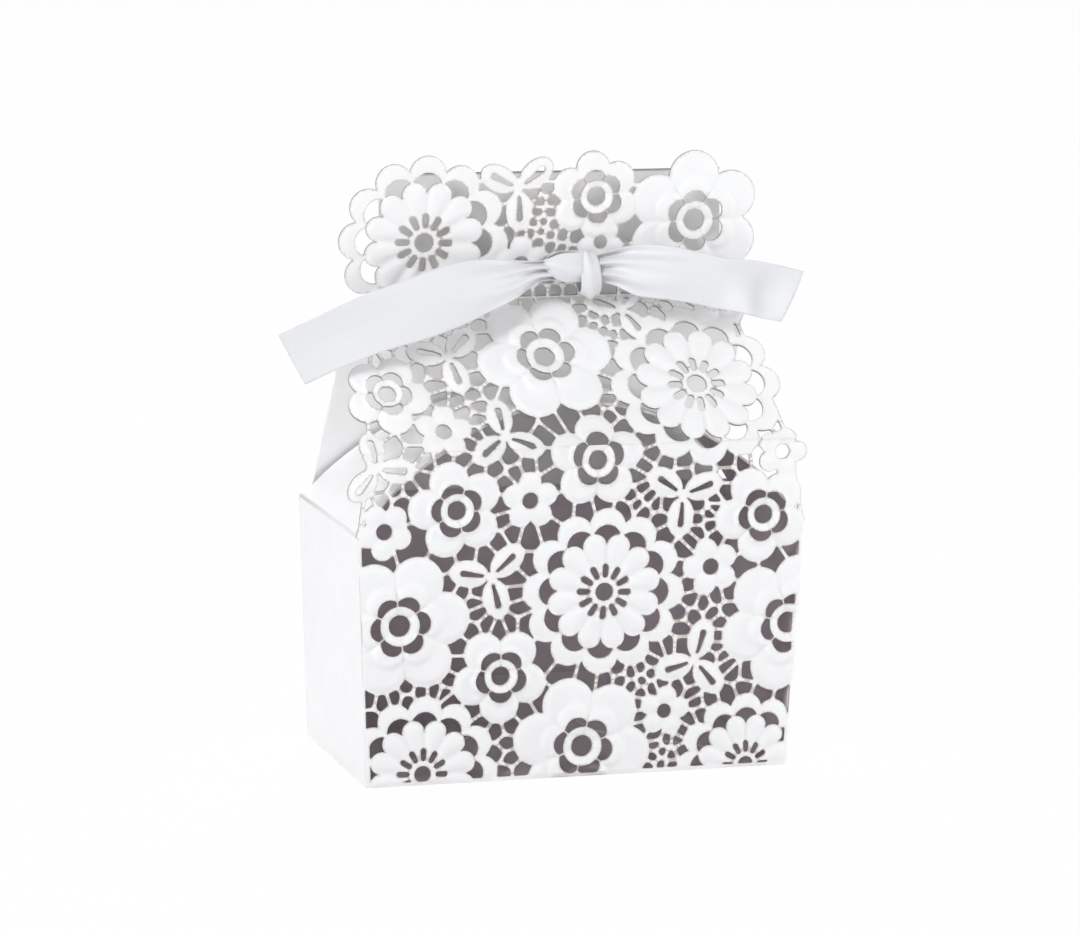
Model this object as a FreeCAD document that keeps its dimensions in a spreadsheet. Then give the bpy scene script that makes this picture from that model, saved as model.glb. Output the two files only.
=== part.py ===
# A wedding favour box folded from laser-cut card and tied with a satin ribbon, in millimetres.
# The frame: X to the right, Y to the back, Z up, origin at the middle of the base on the table.
import FreeCAD, Part
import math
import os
import Sketcher

V = FreeCAD.Vector

doc = FreeCAD.newDocument("favour_box")

# Driving dimensions
SIZES = {
    "base_width": 76.0,
    "shoulder_width": 80.0,
    "box_depth": 40.0,
    "shoulder_height": 43.5,
    "crease_height": 58.0,
    "neck_height": 81.0,
    "neck_half_gap": 1.5,
    "neck_width": 72.0,
    "back_roof_width": 76.0,
    "card": 0.4,
    "score_gap": 0.06,
    "vault_rise": 21.0,
    "vault_side_gap": 1.0,
    "vault_tip_gap": 0.8,
    "crest_strip_height": 18.0,
    "crest_inset": 5.0,
    "back_crest_height": 21.5,
    "back_crest_width": 62.0,
    "crest_splay_angle": 5.0,
    "base_gap": 0.3,
    "base_tongue_height": 9.0,
    "base_tongue_tilt_angle": 8.0,
    "base_side_flap_length": 26.0,
    "base_side_flap_inset": 2.4,
    "seam_flap_width": 9.0,
    "seam_flap_inset": 3.0,
    "lace_unit": 1.0,
    "lace_web": 0.55,
    "net_hole": 1.05,
    "scallop_depth": 1.0,
    "ribbon_width": 10.0,
    "ribbon_thickness": 0.35,
    "ribbon_hole_radius": 2.4,
    "ribbon_hole_spacing": 8.4,
    "ribbon_clearance": 0.6,
    "knot_offset": 2.5,
    "knot_rise": 4.8,
    "knot_width": 8.0,
    "knot_depth": 5.0,
    "knot_height": 9.0,
    "knot_round": 2.0,
    "left_tail_length": 51.0,
    "left_tail_drop_angle": 14.5,
    "left_tail_swing_angle": 8.0,
    "right_tail_length": 35.0,
    "right_tail_drop_angle": 6.5,
    "right_tail_swing_angle": 11.0,
    "tail_bow": 3.0,
}

sheet = doc.addObject("Spreadsheet::Sheet", "sizes")
for row, (alias, number) in enumerate(SIZES.items(), start=1):
    sheet.set("A%d" % row, alias)
    sheet.set("B%d" % row, str(number))
    sheet.setAlias("B%d" % row, alias)
doc.recompute()


def size(alias):
    """A driving dimension as the spreadsheet holds it."""
    return float(sheet.get(alias))


def cell(alias):
    """The expression that reads a driving dimension."""
    return "sizes." + alias


# Lengths that follow from the driving dimensions, as expressions
HALF_BASE = "(sizes.base_width / 2)"
HALF_SHOULDER = "(sizes.shoulder_width / 2)"
HALF_DEPTH = "(sizes.box_depth / 2)"
HALF_NECK = "(sizes.neck_width / 2)"
ROOF_RUN = "(sizes.box_depth / 2 - sizes.neck_half_gap)"
ROOF_RISE = "(sizes.neck_height - sizes.crease_height)"
ROOF_LENGTH = "sqrt(%s ^ 2 + %s ^ 2)" % (ROOF_RUN, ROOF_RISE)
ROOF_LEAN = "atan2(%s; %s)" % (ROOF_RUN, ROOF_RISE)
ROOF_START = "(sizes.card * %s / %s + sizes.score_gap)" % (ROOF_RUN, ROOF_RISE)
BACK_RISE = "(sizes.neck_height - sizes.shoulder_height)"
BACK_LENGTH = "sqrt(%s ^ 2 + %s ^ 2)" % (ROOF_RUN, BACK_RISE)
BACK_LEAN = "atan2(%s; %s)" % (ROOF_RUN, BACK_RISE)
BACK_START = "(sizes.card * %s / %s + sizes.score_gap)" % (ROOF_RUN, BACK_RISE)
WALL_FLARE = "atan2(%s - %s; sizes.shoulder_height)" % (HALF_SHOULDER, HALF_BASE)
WALL_SLANT = "sqrt((%s - %s) ^ 2 + sizes.shoulder_height ^ 2)" % (HALF_SHOULDER, HALF_BASE)
INNER_HALF_BASE = "(%s - sizes.card)" % HALF_BASE
INNER_HALF_DEPTH = "(%s - sizes.card)" % HALF_DEPTH
VAULT_RADIUS = "((%s ^ 2 + sizes.vault_rise ^ 2) / (2 * sizes.vault_rise))" % HALF_SHOULDER
VAULT_CENTRE = "(sizes.shoulder_height + sizes.vault_rise - %s)" % VAULT_RADIUS
CREST_LEAN = "((sizes.knot_rise + sizes.ribbon_width / 2) * sin(sizes.crest_splay_angle))"
KNOT_SEAT = "sizes.neck_half_gap + %s + sizes.ribbon_clearance" % CREST_LEAN
KNOT_ROUND = "min(sizes.knot_round; 0.45 * sizes.knot_depth; 0.45 * sizes.knot_width)"


def origin_plane(body, role):
    """One of a body's own origin planes, found by its role."""
    return [feature for feature in body.Origin.OriginFeatures if feature.Role == role][0]


def new_sketch(body, name, role):
    """An empty sketch on one of the body's origin planes."""
    sketch = body.newObject("Sketcher::SketchObject", name)
    sketch.AttachmentSupport = (origin_plane(body, role), [""])
    sketch.MapMode = "FlatFace"
    return sketch


def bind(sketch, constraint, expression):
    """Add a dimension whose value follows an expression."""
    index = sketch.addConstraint(constraint)
    sketch.setExpression("Constraints[%d]" % index, expression)


def value(expression):
    """The number that an expression gives now."""
    result = sheet.evalExpression(expression.replace("sizes.", ""))
    return float(getattr(result, "Value", result))


def polygon_sketch(body, name, role, corners):
    """A closed outline whose corners are pairs of expressions."""
    sketch = new_sketch(body, name, role)
    points = [V(value(x), value(y), 0) for x, y in corners]
    count = len(points)
    for i in range(count):
        sketch.addGeometry(Part.LineSegment(points[i], points[(i + 1) % count]), False)
    for i in range(count):
        sketch.addConstraint(Sketcher.Constraint("Coincident", i, 2, (i + 1) % count, 1))
    for i, (x, y) in enumerate(corners):
        bind(sketch, Sketcher.Constraint("DistanceX", -1, 1, i, 1, points[i].x), x)
        bind(sketch, Sketcher.Constraint("DistanceY", -1, 1, i, 1, points[i].y), y)
    return sketch


def pad(body, sketch, name, length):
    """A pad of the sketch along its normal."""
    feature = body.newObject("PartDesign::Pad", name)
    feature.Profile = sketch
    feature.setExpression("Length", length)
    return feature


def plate(label, role, corners, thickness):
    """A flat piece of card: one outline and one pad in a body of its own."""
    body = doc.addObject("PartDesign::Body", label)
    sketch = polygon_sketch(body, label + "_outline", role, corners)
    pad(body, sketch, label + "_pad", thickness)
    return body


def place(item, base=("0", "0", "0"), axis=None, angle="0"):
    """Bind a piece's placement to expressions: its base point and one turn."""
    if axis:
        item.Placement = FreeCAD.Placement(V(0, 0, 0), FreeCAD.Rotation(V(*axis), value(angle)))
        item.setExpression("Placement.Rotation.Angle", angle)
    for letter, expression in zip("xyz", base):
        item.setExpression("Placement.Base." + letter, expression)


def side_wall(label, side):
    """A slab between the front and back walls that leans outwards to its shoulder."""
    slab = doc.addObject("Part::Box", label)
    slab.setExpression("Length", cell("card"))
    slab.setExpression("Width", "2 * " + INNER_HALF_DEPTH)
    slab.setExpression("Height", WALL_SLANT)
    if side < 0:
        base = ("-" + HALF_BASE, "-" + INNER_HALF_DEPTH, "0")
        turn = "-" + WALL_FLARE
    else:
        inner_edge = "%s - sizes.card * cos(%s)" % (HALF_BASE, WALL_FLARE)
        base = (inner_edge, "-" + INNER_HALF_DEPTH, "sizes.card * sin(%s)" % WALL_FLARE)
        turn = WALL_FLARE
    place(slab, base, (0, 1, 0), turn)
    return slab


def back_wall():
    """The plain back wall, up to the crease at the shoulders where its roof flap leans forward."""
    corners = [
        ("-" + HALF_BASE, "0"),
        (HALF_BASE, "0"),
        (HALF_SHOULDER, cell("shoulder_height")),
        ("-" + HALF_SHOULDER, cell("shoulder_height")),
    ]
    wall = plate("back_wall", "XZ_Plane", corners, cell("card"))
    place(wall, ("0", HALF_DEPTH, "0"))
    return wall


def back_roof():
    """The plain flap that leans forward from the back wall to the neck."""
    half = "(sizes.back_roof_width / 2)"
    corners = [
        ("-" + half, BACK_START),
        (half, BACK_START),
        (HALF_NECK, BACK_LENGTH),
        ("-" + HALF_NECK, BACK_LENGTH),
    ]
    roof = plate("back_roof", "XZ_Plane", corners, cell("card"))
    place(roof, ("0", HALF_DEPTH, cell("shoulder_height")), (1, 0, 0), BACK_LEAN)
    return roof


def back_crest():
    """The plain upright tab behind the lace crest, with the two ribbon holes."""
    half = "(sizes.back_crest_width / 2)"
    corners = [
        ("-" + half, "0"),
        (half, "0"),
        (half, cell("back_crest_height")),
        ("-" + half, cell("back_crest_height")),
    ]
    body = doc.addObject("PartDesign::Body", "back_crest")
    sketch = polygon_sketch(body, "back_crest_outline", "XZ_Plane", corners)
    for sign in "-+":
        x = "(sizes.knot_offset %s sizes.ribbon_hole_spacing / 2)" % sign
        centre = V(value(x), size("knot_rise"), 0)
        ring = sketch.addGeometry(Part.Circle(centre, V(0, 0, 1), size("ribbon_hole_radius")), False)
        bind(sketch, Sketcher.Constraint("DistanceX", -1, 1, ring, 3, centre.x), x)
        bind(sketch, Sketcher.Constraint("DistanceY", -1, 1, ring, 3, centre.y), cell("knot_rise"))
        bind(sketch, Sketcher.Constraint("Radius", ring, size("ribbon_hole_radius")),
             cell("ribbon_hole_radius"))
    pad(body, sketch, "back_crest_pad", cell("card"))
    place(body, ("0", cell("neck_half_gap"), cell("neck_height")), (1, 0, 0), "-" + cell("crest_splay_angle"))
    return body


def seam_flap():
    """The glued flap that closes the wrap, inside the back wall and along the left wall's slant."""
    low = cell("seam_flap_inset")
    high = "(sizes.shoulder_height - sizes.seam_flap_inset)"
    slant = "((%s - %s) / sizes.shoulder_height)" % (HALF_SHOULDER, HALF_BASE)
    inner_face = "(%s - sizes.card * %s / sizes.shoulder_height - sizes.base_gap)" % (HALF_BASE, WALL_SLANT)
    left_low = "(-%s - %s * %s)" % (inner_face, slant, low)
    left_high = "(-%s - %s * %s)" % (inner_face, slant, high)
    corners = [
        (left_low, low),
        ("(%s + sizes.seam_flap_width)" % left_low, low),
        ("(%s + sizes.seam_flap_width)" % left_high, high),
        (left_high, high),
    ]
    flap = plate("seam_flap", "XZ_Plane", corners, cell("card"))
    place(flap, ("0", INNER_HALF_DEPTH, "0"))
    return flap


def base_panel():
    """The floor of the box, hinged on the front wall."""
    panel = doc.addObject("Part::Box", "base_panel")
    panel.setExpression("Length", "2 * (%s - sizes.base_gap)" % INNER_HALF_BASE)
    panel.setExpression("Width", "2 * (%s - sizes.base_gap)" % INNER_HALF_DEPTH)
    panel.setExpression("Height", cell("card"))
    place(panel, ("-(%s - sizes.base_gap)" % INNER_HALF_BASE,
                  "-(%s - sizes.base_gap)" % INNER_HALF_DEPTH, "0"))
    return panel


def base_tongue():
    """The tongue on the floor's back edge, tucked in before the back wall."""
    half = "(%s - sizes.base_gap - sizes.base_tongue_height / 2)" % INNER_HALF_BASE
    shoulder = "(%s - sizes.base_tongue_height)" % half
    corners = [
        ("-" + half, "0"),
        (half, "0"),
        (half, "(sizes.base_tongue_height / 2)"),
        (shoulder, cell("base_tongue_height")),
        ("-" + shoulder, cell("base_tongue_height")),
        ("-" + half, "(sizes.base_tongue_height / 2)"),
    ]
    tongue = plate("base_tongue", "XZ_Plane", corners, cell("card"))
    back = "(%s - sizes.base_gap)" % INNER_HALF_DEPTH
    lift = "sizes.card * (1 + sin(sizes.base_tongue_tilt_angle))"
    place(tongue, ("0", back, lift), (1, 0, 0), cell("base_tongue_tilt_angle"))
    return tongue


def base_side_flap(label, side):
    """A dust flap on the floor, tapered so that it clears the floor's hinge as both open."""
    sign = "-" if side < 0 else ""
    hinge = "(%s - sizes.base_gap)" % INNER_HALF_BASE
    front = "-(%s - sizes.base_side_flap_inset)" % INNER_HALF_DEPTH
    back = "(%s - sizes.base_side_flap_inset)" % INNER_HALF_DEPTH
    inner = "%s%s %s sizes.base_side_flap_length" % (sign, hinge, "+" if side < 0 else "-")
    corners = [
        (sign + hinge, back),
        ("(%s)" % inner, back),
        ("(%s)" % inner, "(%s + sizes.base_side_flap_length)" % front),
        (sign + hinge, front),
    ]
    flap = plate(label, "XY_Plane", corners, cell("card"))
    place(flap, ("0", "0", "sizes.card + sizes.score_gap"))
    return flap


def vault_flap(label, side):
    """A closing flap that curves up from one side wall to the middle, under the roof flaps."""
    band = doc.addObject("PartDesign::Body", label + "_band")
    sketch = new_sketch(band, label + "_arc", "XZ_Plane")
    outer = value(VAULT_RADIUS)
    inner = outer - size("card")
    centre_height = value(VAULT_CENTRE)
    foot_height = size("shoulder_height") + size("score_gap")
    tip = size("vault_tip_gap") / 2

    def arc(radius):
        foot_angle = math.asin((foot_height - centre_height) / radius)
        tip_angle = math.acos(tip / radius)
        first, last = foot_angle, tip_angle
        if side < 0:
            first, last = math.pi - tip_angle, math.pi - foot_angle
        circle = Part.Circle(V(0, centre_height, 0), V(0, 0, 1), radius)
        return Part.ArcOfCircle(circle, first, last)

    foot_end, tip_end = (2, 1) if side < 0 else (1, 2)
    sketch.addGeometry(arc(outer), False)
    sketch.addGeometry(arc(inner), False)
    ends = [[arc(radius).StartPoint, arc(radius).EndPoint] for radius in (outer, inner)]
    for end in (foot_end, tip_end):
        sketch.addGeometry(Part.LineSegment(ends[0][end - 1], ends[1][end - 1]), False)
    for line, end in ((2, foot_end), (3, tip_end)):
        sketch.addConstraint(Sketcher.Constraint("Coincident", line, 1, 0, end))
        sketch.addConstraint(Sketcher.Constraint("Coincident", line, 2, 1, end))
    sketch.addConstraint(Sketcher.Constraint("PointOnObject", 0, 3, -2))
    sketch.addConstraint(Sketcher.Constraint("Coincident", 1, 3, 0, 3))
    bind(sketch, Sketcher.Constraint("DistanceY", -1, 1, 0, 3, centre_height), VAULT_CENTRE)
    bind(sketch, Sketcher.Constraint("Radius", 0, outer), VAULT_RADIUS)
    bind(sketch, Sketcher.Constraint("Radius", 1, inner), VAULT_RADIUS + " - sizes.card")
    tip_expression = "%ssizes.vault_tip_gap / 2" % ("-" if side < 0 else "")
    for ring in (0, 1):
        bind(sketch, Sketcher.Constraint("DistanceY", -1, 1, ring, foot_end, foot_height),
             "sizes.shoulder_height + sizes.score_gap")
        bind(sketch, Sketcher.Constraint("DistanceX", -1, 1, ring, tip_end, math.copysign(tip, side)),
             tip_expression)
    feature = pad(band, sketch, label + "_pad", cell("box_depth"))
    feature.Midplane = True

    keep = "(sizes.card + sizes.vault_side_gap)"
    bottom = cell("shoulder_height")
    top = "(sizes.shoulder_height + sizes.vault_rise + sizes.card)"
    back_tangent = "(%s / %s)" % (ROOF_RUN, BACK_RISE)
    back_low = "(%s - %s * %s / %s)" % (HALF_DEPTH, keep, BACK_LENGTH, BACK_RISE)
    back_high = "(%s - (%s - %s) * %s)" % (back_low, top, bottom, back_tangent)
    front = "(%s - %s)" % (HALF_DEPTH, keep)
    tangent = "(%s / %s)" % (ROOF_RUN, ROOF_RISE)
    secant = "(%s / %s)" % (ROOF_LENGTH, ROOF_RISE)
    knee = "(sizes.crease_height - %s * (%s - 1) / %s)" % (keep, secant, tangent)
    front_high = "(%s - (%s - %s) * %s)" % (front, top, knee, tangent)
    corners = [("-" + front, bottom), (back_low, bottom), (back_high, top),
               ("-" + front_high, top), ("-" + front, knee)]
    room = doc.addObject("PartDesign::Body", label + "_room")
    room_sketch = polygon_sketch(room, label + "_taper", "YZ_Plane", corners)
    room_pad = pad(room, room_sketch, label + "_room_pad", cell("shoulder_width"))
    room_pad.Midplane = True

    flap = doc.addObject("Part::Common", label)
    flap.Base = band
    flap.Tool = room
    return flap


# The lace is drawn in its own unit on the X and Z of a flat panel
def point(x, z):
    return V(x, 0, z)


def around(x, z, radius, degrees):
    """The point at a radius and angle about a motif's middle."""
    angle = math.radians(degrees)
    return point(x + radius * math.cos(angle), z + radius * math.sin(angle))


def polygon(points):
    return Part.makePolygon(points + points[:1])


def two_arcs(start, bulge_out, end, bulge_in):
    """A closed outline of two arcs between the same two ends."""
    return Part.Wire([Part.Arc(start, bulge_out, end).toShape(), Part.Arc(end, bulge_in, start).toShape()])


def circle(x, z, radius):
    return Part.Wire([Part.makeCircle(radius, point(x, z), V(0, 1, 0))])


def crescents(x, z, r, turn, count, reach, foot, inner, outer):
    """A ring of crescent holes: each spans `reach` degrees, at shares of the motif's radius."""
    holes = []
    for i in range(count):
        middle = turn + 360.0 * i / count
        start = around(x, z, foot * r, middle - reach / 2)
        end = around(x, z, foot * r, middle + reach / 2)
        holes.append(two_arcs(start, around(x, z, outer * r, middle), end,
                              around(x, z, inner * r, middle)))
    return holes


def spokes(x, z, r, turn, count, reach, inner, outer):
    """A ring of radial slots, each spanning `reach` degrees between two shares of the radius."""
    slots = []
    for i in range(count):
        middle = turn + 360.0 * i / count
        low, high = middle - reach / 2, middle + reach / 2
        slots.append(polygon([around(x, z, inner * r, low), around(x, z, outer * r, low),
                              around(x, z, outer * r, high), around(x, z, inner * r, high)]))
    return slots


def rosette(x, z, r, turn):
    """A full double flower: outer fans, inner spokes and an eye."""
    fans = crescents(x, z, r, turn, count=12, reach=24, foot=0.68, inner=0.74, outer=0.88)
    slots = spokes(x, z, r, turn + 15, count=12, reach=11, inner=0.25, outer=0.38)
    return fans + slots + [circle(x, z, 0.12 * r)]


def bloom(x, z, r, turn):
    """A large six-petal flower: six lobes round a ring, and an eye."""
    lobes = crescents(x, z, r, turn, count=6, reach=48, foot=0.28, inner=0.30, outer=0.43)
    return lobes + [circle(x, z, 0.13 * r)]


def blossom(x, z, r, turn):
    """A middling six-petal flower with larger lobes."""
    lobes = crescents(x, z, r, turn, count=6, reach=48, foot=0.40, inner=0.43, outer=0.62)
    return lobes + [circle(x, z, 0.19 * r)]


def floret(x, z, r, turn):
    """A small flower with only its eye."""
    return [circle(x, z, 0.24 * r)]


# Angles of the leaves in a spray, and the half angle that each slit bulges by
LEAF_SPREAD = (-75, 0, 75)
LEAF_BULGE = 11


def leaves(x, z, r, turn):
    """A spray of three leaves, each slit along its middle."""
    root, belly, tip = 0.22 * r, 0.52 * r, 0.80 * r
    holes = []
    for spread in LEAF_SPREAD:
        angle = turn + spread
        holes.append(two_arcs(around(x, z, root, angle), around(x, z, belly, angle + LEAF_BULGE),
                              around(x, z, tip, angle), around(x, z, belly, angle - LEAF_BULGE)))
    return holes


# Motifs of each panel: kind, place across, place up the panel, radius and turn
WALL_MOTIFS = [
    (rosette, 3.7, 32.7, 13.0, 15),
    (rosette, -27.7, 2.6, 11.4, 15),
    (rosette, 30.5, 2.1, 11.4, 15),
    (bloom, -32.5, 27.9, 12.0, 0),
    (bloom, 36.8, 25.0, 11.0, 0),
    (bloom, 1.0, 5.5, 12.0, 0),
    (blossom, -22.5, 48.2, 8.2, 10),
    (blossom, 2.3, 54.5, 8.2, 20),
    (blossom, 32.9, 45.2, 8.2, 0),
    (blossom, -14.5, 18.7, 7.9, 10),
    (floret, -35.2, 44.5, 4.4, 0),
    (floret, -9.8, 49.0, 5.8, 0),
    (floret, 23.3, 36.1, 5.2, 0),
    (floret, 15.1, 10.8, 4.4, 0),
    (leaves, -16.3, 36.3, 6.6, 100),
    (leaves, 18.2, 49.3, 6.6, 80),
    (leaves, 21.1, 19.5, 6.6, 70),
]
ROOF_MOTIFS = [
    (rosette, 23.0, 11.8, 13.0, 15),
    (bloom, -4.0, 18.0, 11.5, 0),
    (blossom, -32.0, 11.3, 7.5, 10),
    (leaves, -21.0, 19.7, 6.3, 100),
    (leaves, -14.0, 4.5, 6.0, 80),
    (floret, -25.2, 3.8, 4.4, 0),
    (floret, 9.0, 3.5, 3.6, 0),
]
CREST_MOTIFS = [
    (rosette, -24.4, 10.6, 14.0, 15),
    (leaves, -7.0, 19.0, 6.5, 90),
    (blossom, 7.1, 17.7, 7.4, 30),
    (bloom, 24.6, 13.8, 10.8, 30),
]


def outline_reach(hole):
    """Points that show how far a hole reaches: its corners and the middles of its edges."""
    middles = [edge.valueAt((edge.FirstParameter + edge.LastParameter) / 2) for edge in hole.Edges]
    return [vertex.Point for vertex in hole.Vertexes] + middles


def inside(corners, spot, margin):
    """True where a point lies inside a convex outline, clear of its edges."""
    for a, b in zip(corners, corners[1:] + corners[:1]):
        edge = b - a
        depth = (edge.x * (spot.z - a.z) - edge.z * (spot.x - a.x)) / edge.Length
        if depth < margin:
            return False
    return True


def holed_face(wires):
    """One flat face: the first outline with the rest as holes in it."""
    return Part.makeFace(wires, "Part::FaceMakerBullseye")


def clear_of(hole, others, web):
    """True where a hole leaves a web of card to every hole already kept."""
    room = hole.BoundBox
    room.enlarge(web)
    near = [other for other in others if room.intersect(other.BoundBox)]
    return all(hole.distToShape(other)[0] > web for other in near)


def net(corners, solid_discs):
    """Six-sided gaps on a honeycomb, wherever the panel has no motif."""
    hole = size("net_hole")
    web = size("lace_web")
    across = math.sqrt(3) * hole + web
    up = 1.5 * hole + web * math.sqrt(3) / 2
    low_x = min(c.x for c in corners)
    low_z = min(c.z for c in corners)
    columns = int((max(c.x for c in corners) - low_x) / across) + 1
    rows = int((max(c.z for c in corners) - low_z) / up) + 1
    gaps = []
    for row in range(rows):
        for column in range(columns):
            x = low_x + (column + 0.5 * (row % 2)) * across
            z = low_z + row * up
            clear = all(math.hypot(x - dx, z - dz) > r + hole for dx, dz, r in solid_discs)
            if clear and inside(corners, point(x, z), hole + web):
                gaps.append(polygon([around(x, z, hole, 30 + 60 * i) for i in range(6)]))
    return gaps


# The share of a motif's radius that the net keeps off
MOTIF_SHARE = 0.9


def lace_sheet(label, outline, corners, motifs, may_reach, eyelets=()):
    """One holed face of card: round eyelets, whole motif holes, and net gaps between the motifs."""
    unit = size("lace_unit")
    web = size("lace_web")
    placed = [(kind, x * unit, z * unit, r * unit, turn) for kind, x, z, r, turn in motifs]
    plain = [(x, z, r + web) for x, z, r in eyelets]
    holes = [circle(x, z, r) for x, z, r in eyelets]
    for kind, x, z, r, turn in placed:
        for hole in kind(x, z, r, turn):
            reach = outline_reach(hole)
            off_eyelets = all(math.hypot(p.x - px, p.z - pz) > pr for p in reach for px, pz, pr in plain)
            if off_eyelets and all(may_reach(p) for p in reach) and clear_of(hole, holes, web):
                holes.append(hole)
    gaps = net(corners, [(x, z, r * MOTIF_SHARE) for kind, x, z, r, turn in placed] + plain)
    print(label, len(holes), "motif holes", len(gaps), "net gaps")
    return holed_face([outline] + holes + gaps).extrude(V(0, size("card"), 0))


def panel_sheet(label, outline, corners, motifs):
    """A lace sheet whose motif holes stay whole inside the panel's corners."""
    return lace_sheet(label, outline, corners, motifs, lambda p: inside(corners, p, size("lace_web")))


def scallops(start, end, count, outward):
    """Arcs that carry a scalloped edge from one corner to the next."""
    edges = []
    for i in range(count):
        a = start + (end - start) * (i / count)
        b = start + (end - start) * ((i + 1) / count)
        edges.append(Part.Arc(a, (a + b) * 0.5 + outward * size("scallop_depth"), b).toShape())
    return edges


def line(a, b):
    return Part.LineSegment(a, b).toShape()


def shape_feature(label, shape, placement):
    """A piece whose shape is set in code, placed afterwards."""
    item = doc.addObject("Part::Feature", label)
    item.Shape = shape
    item.Placement = placement
    return item


def front_wall():
    """The lace front wall, scalloped above the shoulders where it stands free of the sides."""
    low, high = size("base_width") / 2, size("shoulder_width") / 2
    shoulder, crease = size("shoulder_height"), size("crease_height")
    corners = [point(-low, 0), point(low, 0), point(high, shoulder), point(high, crease),
               point(-high, crease), point(-high, shoulder)]
    edges = [line(corners[0], corners[1]), line(corners[1], corners[2])]
    edges += scallops(corners[2], corners[3], 2, V(1, 0, 0))
    edges += [line(corners[3], corners[4])]
    edges += scallops(corners[4], corners[5], 2, V(-1, 0, 0))
    edges += [line(corners[5], corners[0])]
    shape = panel_sheet("front_wall", Part.Wire(edges), corners, WALL_MOTIFS)
    return shape_feature("front_wall", shape,
                         FreeCAD.Placement(V(0, -size("box_depth") / 2, 0), FreeCAD.Rotation()))


def front_roof():
    """The lace flap that leans back from the front wall to the neck."""
    low, high = size("shoulder_width") / 2, size("neck_width") / 2
    start, length = value(ROOF_START), value(ROOF_LENGTH)
    corners = [point(-low, start), point(low, start), point(high, length), point(-high, length)]
    edges = [line(corners[0], corners[1])]
    edges += scallops(corners[1], corners[2], 4, V(1, 0, 0))
    edges += [line(corners[2], corners[3])]
    edges += scallops(corners[3], corners[0], 4, V(-1, 0, 0))
    shape = panel_sheet("front_roof", Part.Wire(edges), corners, ROOF_MOTIFS)
    base = V(0, -size("box_depth") / 2, size("crease_height"))
    return shape_feature("front_roof", shape,
                         FreeCAD.Placement(base, FreeCAD.Rotation(V(1, 0, 0), -value(ROOF_LEAN))))


# Petal angles, ring radius and petal radius of each motif's silhouette on the crest
CREST_PETALS = {
    rosette: (range(0, 360, 30), 0.80, 0.22),
    leaves: (LEAF_SPREAD, 0.60, 0.36),
    blossom: (range(0, 360, 60), 0.66, 0.40),
    bloom: (range(0, 360, 60), 0.62, 0.42),
}


def petal_discs(x, z, r, angles, ring, petal):
    """A flower's silhouette: a core and round petals at the angles given."""
    discs = [Part.Face(circle(x, z, ring * r))]
    for angle in angles:
        middle = around(x, z, ring * r, angle)
        discs.append(Part.Face(circle(middle.x, middle.z, petal * r)))
    return discs


def front_crest():
    """The upright lace crest: a strip at the neck with the flowers' petals standing above it."""
    unit = size("lace_unit")
    half = size("neck_width") / 2 - size("crest_inset")
    strip_top = size("crest_strip_height")
    corners = [point(-half, 0), point(half, 0), point(half, strip_top), point(-half, strip_top)]
    silhouette = []
    for kind, x, z, r, turn in CREST_MOTIFS:
        spread, ring, petal = CREST_PETALS[kind]
        angles = [turn + angle for angle in spread]
        silhouette += petal_discs(x * unit, z * unit, r * unit, angles, ring, petal)
    face = Part.Face(polygon(corners)).multiFuse(silhouette)
    room = face.BoundBox
    below_neck = Part.Face(polygon([point(room.XMin, room.ZMin), point(room.XMax, room.ZMin),
                                    point(room.XMax, 0), point(room.XMin, 0)]))
    outline = face.cut(below_neck).removeSplitter().Faces[0].OuterWire
    eyelets = [(size("knot_offset") + sign * size("ribbon_hole_spacing") / 2, size("knot_rise"),
                size("ribbon_hole_radius")) for sign in (-1, 1)]
    shape = lace_sheet("front_crest", outline, corners, CREST_MOTIFS,
                       lambda p: p.z > size("lace_web"), eyelets)
    base = V(0, -size("neck_half_gap"), size("neck_height"))
    return shape_feature("front_crest", shape,
                         FreeCAD.Placement(base, FreeCAD.Rotation(V(1, 0, 0), size("crest_splay_angle"))))


def ribbon_knot():
    """The knot in front of the crest."""
    block = doc.addObject("Part::Box", "ribbon_knot_block")
    block.setExpression("Length", cell("knot_width"))
    block.setExpression("Width", cell("knot_depth"))
    block.setExpression("Height", cell("knot_height"))
    doc.recompute()
    knot = doc.addObject("Part::Fillet", "ribbon_knot")
    knot.Base = block
    radius = value(KNOT_ROUND)
    knot.Edges = [(i + 1, radius, radius) for i in range(len(block.Shape.Edges))]
    place(block, ("sizes.knot_offset - sizes.knot_width / 2", "-(%s) - sizes.knot_depth" % KNOT_SEAT,
                  "sizes.neck_height + sizes.knot_rise - sizes.knot_height / 2"))
    return knot


def ribbon_loop():
    """The ribbon's run through both crests and across the back of the plain one."""
    legs = []
    for sign, name in (("-", "left"), ("+", "right")):
        leg = doc.addObject("Part::Cylinder", "ribbon_leg_" + name)
        leg.setExpression("Radius", "sizes.ribbon_hole_radius - sizes.ribbon_clearance")
        leg.setExpression("Height", "2 * (%s)" % KNOT_SEAT)
        x = "sizes.knot_offset %s sizes.ribbon_hole_spacing / 2" % sign
        place(leg, (x, KNOT_SEAT, "sizes.neck_height + sizes.knot_rise"), (1, 0, 0), "90")
        legs.append(leg)
    run = doc.addObject("Part::Box", "ribbon_back_run")
    run.setExpression("Length", "sizes.ribbon_hole_spacing + 2 * sizes.ribbon_hole_radius")
    run.setExpression("Width", cell("ribbon_thickness"))
    run.setExpression("Height", cell("ribbon_width"))
    place(run, ("sizes.knot_offset - sizes.ribbon_hole_spacing / 2 - sizes.ribbon_hole_radius", KNOT_SEAT,
                "sizes.neck_height + sizes.knot_rise - sizes.ribbon_width / 2"))
    loop = doc.addObject("Part::MultiFuse", "ribbon_loop")
    loop.Shapes = legs + [run]
    return loop


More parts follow.
